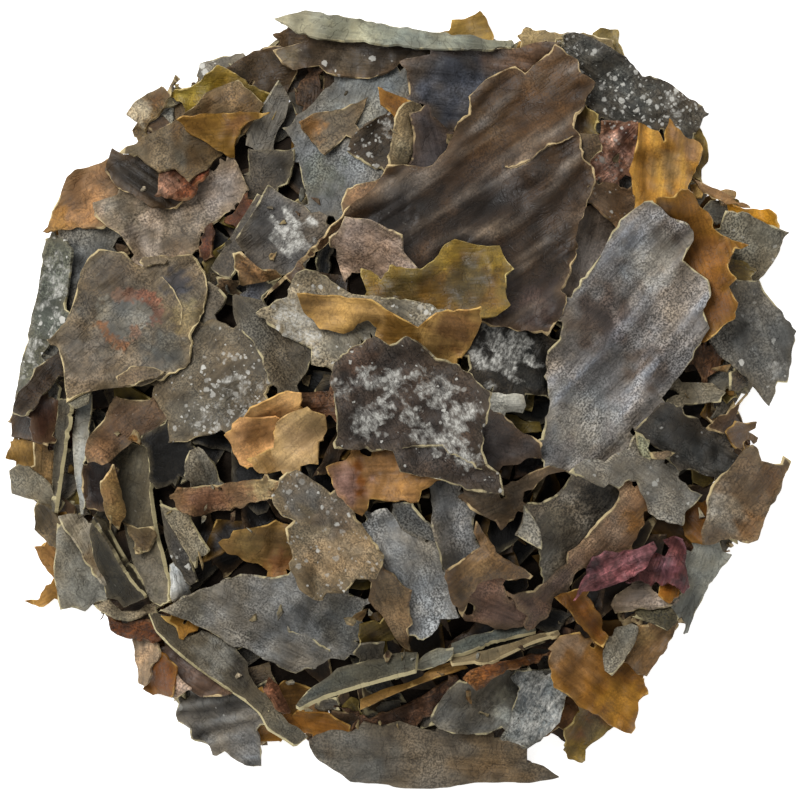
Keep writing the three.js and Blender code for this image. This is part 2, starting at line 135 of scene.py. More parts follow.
lowMiddle = [
    # upper right
    ("frosted", "44423c", "20.3,45.8 22,46.2 24.5,45.3 26.5,44.2 28.3,43.1 30.5,40.8 33,40.3 35,39 37,37.6"
     " 38.7,36 37.8,35.4 37.2,33.4 36,33.2 33,34 28.5,34.9 25,35.5 23.5,37 24.3,39.5 22.8,41 22,42.7"
     " 21,43.8",
     dict(bloom=0.08, grain=-35, drops="25,39,3.5,.6 30,38.3,4,.85 35,36.8,3,.9 22,44,2,.7",
          frost="35,37.3,2,.5 27,36.5,1.5,.45 22,44.3,1.4,.5")),
    ("olive", "584630", "23.2,36.8 24.9,35.8 24.3,33.5 22.8,31.2 22.4,33.2 21.9,34.5 22.4,35.8"),
    # pale pink spots: salt crust with a painted highlight on it; the dark spot at 28,33.6 is painted shade
    # in a hollow
    ("rust", "866450", "25.3,35 29.8,35 30,33 29.3,30 28.5,28.5 27.2,27.3 24.7,27.8 24.2,29 23,30.3 25,31.8"
     " 25.2,33",
     dict(crumple=1.1, bloom=0.4,
          patches="26,29.2,1.8,c4a292 28,33.6,1.5,5a3a2c 26.5,32.5,1.2,c8aa9c 28.2,31,.9,b08c7c")),
    ("brown", "665c52", "23.3,24.6 24.8,23.8 26.9,22 25,18 22.8,14.2 21,12.3 20,13 21.8,16 22,18 21.8,20"
     " 22.6,22.8"),
    ("brown", "6a5640", "24,26.6 25.4,27.2 27.5,26.9 29.4,26 29,24.2 27.3,21.5 25.6,23.2 23.8,24.9",
     dict(bloom=0.25)),
    ("brown", "6a5842", "31.5,25.6 34.6,25.8 34.4,22.8 32.3,22.8", dict(lift=1.8)),
    ("tan", "4a3c2c", "22.4,33.4 24.9,33.2 25.3,31 23.6,30 22.3,31"),
    ("amber", "9d7331", "30,34.8 31.2,34.3 32.3,33.7 33,32 33.3,34 33.8,35.3 34.5,34.3 36,33.2 37.5,32.3"
     " 38,31.5 37.5,29.5 36.8,27.9 36,26.7 35,26.4 34,25.4 32.3,25.4 31.5,25 29.7,24.3 29.2,26.5 28.8,28.5"
     " 29.3,30.5 29.8,32.5",
     # crest colour: painted highlight on the folds, with painted shade in the hollows
     dict(ridges=(95, 3, 0.2), crest="b08a40", patches="36.5,32.5,3,86694c 33.5,29,2.5,907448")),
    ("amber", "724e18", "34.2,25.5 35.2,26.6 36.8,26.1 37.3,24.8 38.2,23.8 38.9,23 39.2,21.9 40.2,21"
     " 41.5,20.2 43.7,19.4 42.8,18.9 42,19 41.2,17 41.5,16 42.2,15.2 41.2,14.2 41.8,13 42.5,12.2 42.3,11.2"
     " 41.8,10.3 40.5,9.3 39.5,8.2 38.2,7.2 37.5,9 36,14 35,18 35,22 33.2,22.4 31.8,23.4 32,25.2",
     dict(edgeShade=0, crumple=0.12, wave=0.6,
          patches="36.5,24,3,845c22 40,12,3,704a1e 38.5,18,3,7a511e 32.4,24,1.6,5e4a34")),
    # upper left
    ("rust", "3a2c20", "-13,39 -12,40.5 -10.5,42 -10,40 -10,38 -11.5,36.5 -12.7,37"),
    ("slate", "676764", "-14.3,34 -13,35.4 -11,37 -9.5,39 -8,40.2 -6,40.5 -3,40.3 0,41.3 1,40.5 1.2,38"
     " 0,36.5 0,31 -0.5,28 -2,26.5 -6,24 -8,22.8 -11.4,23.5 -11.8,26 -12.7,30 -13.5,32.5",
     dict(grain=70, patches="-4,38,5,7a7d7b -10,28,3,56574f")),
    ("brown", "383128", "-15.9,43.9 -14.5,44.3 -11,45.2 -8,45.2 -4.5,45 -2,44.3 0,44.4 5,43.8 7,43 3,40"
     " 0,42.3 -1,41.3 -4,40.3 -7.5,40.6 -9.2,41 -10.2,41.9 -12,41.6 -13.5,41.5 -14.8,42.2",
     dict(grain=-5, bloom=0.06, patches="-14.5,43.3,2,5a5444 -6,41.5,3,4a4236")),
    ("brown", "484441", "1.2,38 1,41 0,42.4 2,43 5,43.6 6,44 12,44 15,44.2 17,44.9 20,45 19.5,44.6 15.8,41"
     " 12,40 9.6,36.5 7.5,33.3 4.5,35.5 3.3,36.8 2,37.5",
     dict(ridges=(-8, 4.5, 0.35), grain=-8, patches="7,40,5,383b42 16,43.5,5,523f2f")),
    ("slate", "868876", "-15.9,48 -12.8,48.6 -12,48.9 -9,48.5 -5,47.8 0,46.9 4.7,46.1 9,45.7 11,45.2 14,45"
     " 14.5,44.4 12,44 6,43.9 2,44.1 0,44.5 -2,44.4 -4.5,45 -8,45.1 -11,45.4 -14,46.6 -15,47.3",
     dict(grain=-8, crumple=0.1, tooth=0.25, patches="3,45.2,5,787b6e 10,44.8,3,70756a -12,47.6,3,8e9080")),
    ("tan", "765a40", "-7.4,24.4 -6.5,26.3 -5,26.9 -2.8,27.4 -4.5,24.5 -7,22.8"),
    ("tan", "5c5040", "-12.6,34.8 -11,35.8 -9,36.2 -6.5,36.8 -4,38 -4.5,36.5 -5.5,34.5 -6.7,33 -8,31.7"
     " -9.5,30.7 -11,32.5 -12.3,34", dict(patches="-12,34.3,2.5,7a5832")),
    ("frosted", "382f24", "-6.6,31 -6,33 -4.5,34.3 -3,35.3 -1.5,36 0,33 0.3,32 -1,30 -2,29 -3,28.8 -5,30",
     dict(frost="-1,34,1.6,.7", bloom=0.3)),
    ("amber", "704c1e", "-2.8,39.2 -1.5,38.7 0,38 1.5,37.5 0.5,36.5 -0.5,35.5 -1.8,36.5 -2.5,37"),
    ("tan", "7a6e56", "-0.4,36 0.5,37 1.5,37.5 2.5,37 1.5,36 1.8,34 1.6,31.5 1.4,29.7 0,30 -1.5,30",
     dict(crumple=0.45)),
    ("brown", "4b4340", "1.3,35.9 3.3,36.8 4.5,35.3 6.3,33.4 6,32 4,29.5 1.5,29.7 1.8,33"),
    ("slate", "7c776d", "-15.2,40.1 -13.8,37.9 -14.4,35.5 -15.5,33.5 -16,31.5 -18,31.5 -19.3,31.9 -19,34.3"
     " -17,35.5 -16.8,37.5", dict(lean=(-0.5, 0.3), tooth=0.3)),
    ("slate", "403a31", "-19,31.5 -16,31.2 -13.2,31.4 -13.5,29 -14,27 -15.5,26.5 -16.8,26.5 -18.8,25.5"
     " -18.9,28"),
    ("tan", "918273", "-38.5,24.8 -36,25.5 -33,26 -30,25.6 -27,25 -25.5,25.8 -24,28 -22.3,29.8 -20.6,30"
     " -19.9,28.6 -18.9,26.3 -21.5,23.4 -24.8,21 -25.2,19.2 -26.5,17.5 -29,17.3 -31.5,17.6 -32.6,17.2"
     " -33.8,19 -35.3,21 -36.8,21.8 -38.3,23.2",
     dict(patches="-27,20,5,6c5f50 -35,24,3,746a5c -22,27,4,80746a")),
    ("brown", "2a2218", "-36.2,31.6 -35,31.1 -33,30.5 -31,29 -30,28.2 -30.8,26 -29.5,25.2 -27.2,24.8 -28,24"
     " -30,24 -32,24.6 -33.5,26 -35.3,26.5 -37,28.8 -36.9,29.6",
     # crest colour: painted sheen on the ridge tops, with painted shade in the hollows
     dict(ridges=(-35, 1.3, 0.3), crest="5a5348", grain=-35)),
    ("rust", "52301c", "-30.2,28.3 -29,28.8 -27.6,27.9 -27,27.3 -25,28.5 -23.4,30.3 -24,28.3 -25.5,27"
     " -25.5,25.8 -27,25 -28.8,25.3 -30.5,25.6",
     dict(crumple=0.45, patches="-29,26.8,1.6,8f6c58 -24.5,29,1.5,5e3426")),
    ("tan", "54422a", "-35,31.1 -32,33.1 -28,35.1 -25.8,36.8 -24.3,38.6 -20.3,40.2 -17,37.1 -19,34"
     " -22.3,30.6 -26.4,27.2 -28.2,28.9 -30.2,28.5 -33,30.5",
     dict(patches="-31,31,4,5e5444 -22,38.5,3,6c5a42")),
    ("amber", "715523", "-28,35.1 -26.5,35.6 -24,35.8 -18,36.1 -16.2,36 -17.5,35.3 -19,34.8 -20,33.7"
     " -20.7,32 -20.7,30.4 -22,30.8 -24.5,32.4 -26.5,33.5",
     dict(patches="-26,35,2.5,745626 -20,34.5,2,64482a")),
    ("rust", "3c2216", "-24.6,21.5 -23.5,22 -23.2,20 -23.6,18 -24.5,17.3 -25.2,18.8"),
    ("rust", "4e2c18", "-21.8,22.3 -20,24.5 -19,26 -19,24 -20.5,22"),
    ("slate", "46413a", "-17.8,25.8 -19.5,23 -21,20.6 -22,18.9 -23.7,16.4 -22.3,15.4 -21,15.2 -20,18 -17,22"
     " -15.5,24.5", dict(grain=55, lean=(0.5, -0.4))),
    ("slate", "504c47", "-16.5,26.9 -15,25.8 -13.4,24.7 -12,24.4 -11,23.3 -10,23.5 -9,22.9 -9.5,20.5 -12,17"
     " -14.7,15.5 -17,16 -19.5,18.5 -20.5,20 -18,24",
     dict(grain=40, frost="-13.5,20.6,3,.95", dome=0.9, tooth=0.6)),
    ("slate", "4c3c2a", "-23,15.4 -21,15.1 -20.3,13.8 -20.6,13 -22,13.5"),
    ("slate", "5c564c", "-24,14.8 -22.5,13.8 -21.7,12.8 -21.9,12 -23.3,10.4 -24.6,9.6 -25,11"),
    ("slate", "45464a", "-20,13.2 -18.5,13.8 -14.7,15.3 -17,13 -17.3,12.4 -20,12.9"),
    # crest colour: painted sheen on the ridge tops, with painted shade in the hollows
    ("tan", "5c4428", "-20.8,18.3 -19.9,18.4 -18.8,17.4 -17.5,16.4 -15.5,16.2 -14.8,15.4 -16,15 -18,14.6"
     " -20.3,14.2 -20.4,16", dict(ridges=(-55, 2.2, 0.5), crest="8a6a4a")),
    # left
    ("slate", "747064", "-43,-15.5 -43.2,-18.5 -43.5,-22 -42.9,-25 -42.7,-26.4 -41.2,-26 -39.5,-26.6"
     " -38.2,-25.5 -36.8,-25 -36.5,-24 -39,-21 -39.7,-19.5 -41.5,-16.7", dict(grain=-60, tooth=0.4)),
    ("slate", "9c988c", "-42.8,-14.6 -41.5,-14.3 -39.8,-14.3 -39.2,-15.5 -38.3,-18 -38,-20.5 -37,-22.5"
     " -37.5,-23 -39.3,-20.5 -40.3,-18.5 -41.6,-16.7",
     dict(grain=-60, lift=0.25, tooth=0.4, patches="-38.4,-20.3,2,7c6f5a")),
    ("slate", "2c281e", "-38.5,-15 -36,-18.5 -34.7,-21 -32.5,-24 -31.8,-24.8 -34.5,-26 -35.3,-25"
     " -36.8,-24.7 -37.2,-22.5 -38.2,-20 -38.8,-17",
     dict(grain=-58, lean=(0.7, 0.5), thick=0.5, cut=0.1, tooth=0.6)),
    ("slate", "241f12", "-38.3,-14.3 -36.8,-15.5 -35.5,-18 -34,-20.5 -31.2,-24.5 -31.8,-24.8 -34.3,-21"
     " -36,-18.5", dict(grain=-58, lean=(0.8, 0.55), thick=0.4, tooth=0.5)),
    ("slate", "7c725f", "-38.3,-25.8 -36.5,-25 -35,-26.5 -33.5,-26.5 -31,-25.5 -29.8,-25.8 -31.5,-26.8"
     " -34,-27.7 -36,-27.3 -37.5,-26.5"),
    ("slate", "3e3b33", "-42.6,0.2 -41.2,-0.4 -41.9,-6 -42.5,-10 -43.1,-14.2 -43.6,-14 -43.5,-10.9"
     " -43.2,-5.2", dict(lean=(1.5, 0), grain=86, thick=0.5, cut=0.3, tooth=0.5)),
    ("slate", "8e8e86", "-40.5,0.9 -38.6,0.8 -38.6,-1.3 -39.2,-4.8 -39.6,-8.2 -39.6,-10.9 -39.6,-14.3"
     " -40,-14.4 -40.3,-12 -40.8,-9 -41,-4.2 -40.5,-0.4",
     dict(lean=(0.4, 0), lift=0.9, grain=86, tooth=0.4, patches="-39.9,-8,4,989a95 -39.3,-0.5,2.5,6e706a")),
    ("brown", "120500", "-39.8,-8 -37.3,-8.2 -36.3,-7.8 -37.4,-10 -37.3,-13 -37.5,-14 -39.2,-13.5"
     " -39.8,-11"),
    ("slate", "504c40", "-35.8,-7.5 -33.3,-5.6 -31.6,-6.2 -31.3,-10 -30.8,-14 -30.3,-17 -29.5,-20 -28.7,-25"
     " -29.8,-25.8 -31.2,-25 -32,-23 -33.3,-20.5 -34.4,-16 -35,-11",
     dict(lean=(0.85, 0.05), grain=80, thick=0.6, cut=0.3, tooth=0.5, patches="-31.2,-22,3.2,605b50")),
    ("tan", "52422c", "-34.8,-15.2 -33,-16 -31,-15.8 -30.4,-17 -31.5,-19 -33,-19.3 -33.3,-17.8",
     dict(lift=0.4)),
    ("tan", "a48454", "-37.5,-10.2 -36.5,-9.3 -35.8,-8 -35,-11 -34.3,-14 -34.8,-15 -35.3,-16.2 -36.5,-15"
     " -37.2,-13", dict(dome=0.8, crumple=0.4, patches="-36.6,-12,1.2,a07c50")),
    ("tan", "524030", "-35.5,0.6 -34,0 -31,0 -30,-1.5 -29.2,-2.3 -29.5,-2.7 -31.3,-3.7 -33.2,-5.2 -35,-6.5"
     " -36.3,-7.7 -37.2,-8.2 -39,-7.8 -39.3,-6 -39,-4.8 -37.5,-2.8 -36.3,-0.5",
     dict(grain=40, dome=0.7, patches="-37.5,-6.5,2,6c543e")),
    ("slate", "0c0a07", "-29.2,-2.7 -29,-5.2 -26,-5.2 -26.8,-7.5 -27.2,-9 -28,-10.5 -30.5,-10.9 -31.2,-10.2"
     " -31.3,-8 -31.6,-6 -32.5,-5.6 -33,-5"),
    ("slate", "7a766a", "-26.2,-6.3 -25.2,-5.8 -24.5,-6.2 -23.3,-7.7 -22.8,-8.5 -22.3,-10.3 -25.9,-10.8"
     " -27,-9.5 -26.8,-7.8"),
    ("slate", "d2d5d2", "-28.9,-20.8 -28,-21.5 -27,-22.3 -26.2,-23.5 -27.6,-24.5 -28.5,-25 -28.8,-22.5",
     dict(tooth=0.2)),
    ("slate", "403d38", "-30,-12.5 -29,-14.5 -27.5,-17.5 -26.3,-19.8 -25.3,-22.7 -26.3,-23.3 -27.2,-22.4"
     " -28.7,-19.5 -29.5,-16.5", dict(grain=-55, lean=(0.5, 0.3), bloom=0.1)),
    ("slate", "706856", "-30,-13 -28,-13.8 -26.5,-14.5 -25,-17 -23.8,-18.8 -24.3,-19.4 -25.3,-19.5"
     " -25.5,-21 -27,-18.5 -28.5,-16", dict(grain=-55, lean=(0.6, 0.4), thick=0.45, cut=0.25)),
    ("tan", "74573c", "-28.8,-12 -27.8,-11 -24,-10.7 -20.5,-10.3 -18,-9.9 -15.1,-9.9 -15,-10.5 -16,-11.5"
     " -16,-12.2 -18,-12.8 -20.5,-13.6 -23,-13.8 -24.8,-14.6 -26,-14.3 -28,-13.5 -28.5,-12.5",
     dict(grain=6, dome=0.6, lift=0.5, patches="-17,-10.6,1.8,96835e -24,-12.5,3,684c3a")),
    ("amber", "765e38", "-22.6,-17.8 -21.3,-17 -20.9,-16.2 -18.5,-16 -16.5,-15.5 -15.5,-15 -14,-15.5"
     " -14.2,-17 -13.6,-18.5 -14,-19.5 -14,-21 -15.5,-21.8 -16.5,-21.3 -18,-20.3 -19.5,-20 -20.5,-19.4"
     " -21.7,-19.3", dict(patches="-15,-20.5,1.8,74502e -19,-17.5,2,6a5834")),
    # bottom left
    ("slate", "4d493f", "-31.5,-26.8 -30.5,-29 -28,-31.5 -25.5,-33.5 -22,-36 -19,-38 -17.5,-39.5"
     " -16.5,-41.3 -14.5,-42.5 -13.3,-43.3 -12.8,-43.2 -11.6,-42.2 -13,-41 -14,-40.5 -15.5,-38.7 -17,-37"
     " -18,-36 -19,-34.5 -19.2,-33 -20.5,-31.5 -23,-30 -25,-29.2 -27,-29.8 -29.5,-27 -31,-26.8",
     dict(grain=-42, lean=(-0.35, -0.45), thick=0.45, cut=0.25, tooth=0.6,
          patches="-23.5,-32.3,2.6,66655f -19.3,-34,2,332f28 -28.5,-28.5,2,48443a -16,-39.5,2.5,5c584c")),
    ("amber", "85602a", "-30,-27 -28.5,-27.2 -27,-28.2 -25.3,-29 -26.5,-29.3 -27,-30.3 -27.7,-29.8"
     " -28,-28.5"),
    ("rust", "6b4a38", "-17.2,-36.3 -16.5,-34.8 -15.3,-36 -14.3,-38 -13.8,-39.3 -14.5,-39.5 -15.5,-38.5"
     " -16.5,-37.3", dict(dome=0.7, crumple=0.4)),
    ("slate", "706f6b", "-30.2,-26.5 -26,-24.2 -23.5,-23.3 -21.5,-22.3 -20,-21.8 -18,-21.9 -16,-22.2"
     " -14,-21.8 -13.2,-22.2 -12,-24.2 -9.5,-25.2 -9.5,-24.1 -7,-24 -5.5,-24.5 -4.2,-25 -4.6,-26.5"
     " -5.2,-27.5 -5.3,-29.5 -6,-31.5 -7,-32.4 -8.6,-32.3 -9.5,-33 -10.5,-33.8 -11.8,-33.7 -13,-34.3"
     " -14,-34 -16,-33 -18,-31.8 -19.5,-31 -21,-30.9 -23,-29.5 -26,-28 -30,-26.3",
     dict(grain=-25, tooth=0.8, tear=("-8.5,-31.6 -9.2,-30.8 -11.7,-29.3 -14.6,-28.5", 0.4),
          patches="-27,-26,3,757268 -18,-26,4,62605b -7,-28,4,53524d -12,-31.5,2.5,747068")),
    # bottom middle
    ("olive", "3a2d1c", "-5.1,-30.3 -5,-28 -3,-27.5 -1.5,-28.5 -1,-30 -2.5,-30.3"),
    ("slate", "565148", "-5.9,-31.7 -5,-30.4 -2,-30.3 -2,-32.5 -3,-32.8 -5,-32.2"),
    ("rust", "4c382a", "-8.5,-38.3 -5.5,-39.3 -4,-40 0,-38.5 3,-37 6,-35 7,-34.5 6,-36 4.5,-38.5 4,-39.8"
     " 2,-40.5 -4.5,-40.3 -6,-41.3 -5.2,-39", dict(grain=25, crumple=0.4)),
    ("amber", "9a7844", "-5,-38.8 0,-36.5 4,-35 8.5,-33.5 7.5,-33 5,-33.5 2,-35 -2,-36.2 -5,-37.5",
     dict(grain=22, lean=(0.1, -0.5))),
    ("slate", "4a4f4a", "6.4,-30.6 9.3,-29.5 14.5,-28.8 17,-28.8 17,-29.1 14,-29.8 11,-30.5 9.6,-31.2"
     " 8,-31.8 6.6,-32", dict(grain=14, lean=(0, -1), thick=0.5, cut=0.3, tooth=0.5)),
    ("tan", "7c7058", "6.2,-32.3 9,-31.7 11.5,-31.2 14,-30.5 17,-29.5 19.8,-29 19.9,-29.4 16.3,-30.5"
     " 14.2,-31.5 11.9,-32.5 9,-32.8 6.5,-33.1",
     dict(grain=14, lean=(0, -1), thick=0.5, cut=0.3, tooth=0.5)),
    ("slate", "666a64", "2.3,-32.7 3.1,-31.8 4.5,-31.1 6.6,-31 6.5,-32.5 4.5,-33.3 1.4,-34.1 -0.5,-34.9"
     " 0.8,-33.6", dict(tooth=0.6, edgeShade=0)),
    ("slate", "42433c", "-13,-38.3 -11.5,-36.5 -9,-34.8 -7.8,-33.7 -5,-33 0,-31.8 2.3,-31.7 2,-33.9"
     " -4,-35.5 -9.5,-37.2 -12.5,-38.6", dict(grain=17, lean=(0.25, -1.1), thick=0.6, cut=0.3, tooth=0.6)),
    ("slate", "5d564b", "-11.5,-42.7 -10.5,-42 -8.5,-41.5 -6,-41.5 -4.5,-40.3 -2,-40.8 0,-40.3 2,-41"
     " 5,-41.8 10,-42 11,-42.3 13,-42.5 15,-43.2 16,-43.8 16,-45.5 18,-46 19.5,-47 20,-47.4 18.5,-47.8"
     " 16,-48.1 12,-48.1 8.8,-48.2 6,-48.7 2,-48.9 0,-48.7 -3,-48.2 -6.3,-48 -7.5,-47 -9.8,-45.5 -11.2,-44",
     dict(grain=-4, ragged=0.04, crumple=0.12, ridges=(-4, 5, 0.2), tooth=0.7, edgeShade=0.25,
          patches="12,-45,5,63543f -6,-44.5,5,615d54")),
    ("slate", "5c5a53", "3.9,-40 4.5,-38.8 6,-36.2 7.5,-35 8.5,-35.5 9.5,-36.2 11,-35.3 13,-34.3 15,-33.6"
     " 17.6,-33.9 18.3,-33.8 19.3,-35.7 20.9,-37 20.3,-38.5 19.5,-40.5 17.5,-42.8 16,-43.5 15.5,-43.7"
     " 14,-42.5 12.8,-41 10.8,-42 8,-42 5,-41.5",
     dict(grain=50, tooth=0.5, patches="8,-39,5,52504a 13.2,-37,1.2,8c8c80 12.8,-39.3,1.1,8a8a80")),
    ("slate", "5c605f", "14.5,-33.8 17.7,-33.9 19.1,-35.5 20.9,-36.9 20,-40.4 17.5,-42.7 16.1,-43.6"
     " 13.5,-42.7 12.4,-42.4 13.7,-40.4 14.3,-38 14.9,-36.2 14,-34.8",
     dict(grain=60, lift=0.2, tooth=1.2, frost="17,-36.5,5,.65 17,-40,4,.65")),
    ("rust", "643e1a", "7.8,-34.8 8.8,-33.8 11,-33 14,-32.5 17.5,-31.6 19,-31.8 17.5,-32.6 15,-33.4 13,-34"
     " 11.5,-34.8 10.5,-35.7 9.5,-36.2 8.8,-35.5", dict(grain=15)),
    ("amber", "7a5420", "19.3,-36 18.5,-32.8 19,-31.5 18.5,-31.2 20,-29.5 22.5,-29.1 23.2,-30 24,-31"
     " 25.2,-31.5 25.5,-33.5 26.2,-34.5 28,-33 29,-33.4 29.5,-34.3 30.8,-35 31,-36.9 30,-38 29.7,-39.3"
     " 29.6,-41.2 29,-41.9 28.2,-41.7 27,-41.2 26.2,-40.6 24.2,-39.2 22.5,-38.3 20.8,-36.8",
     dict(patches="20.5,-30.5,3.5,8f7a64 27.5,-38,3,8f6826 22,-34,3,785832")),
    ("brown", "745c3c", "29.7,-30 29.8,-28.3 31.7,-28.3 33.7,-28.8 35,-27.7 34,-30 32.5,-32.5 31,-34.6"
     " 29.8,-34.4 28.5,-33 28,-32.8 29,-31.5", dict(patches="30.6,-29.6,1.4,86704a")),
]

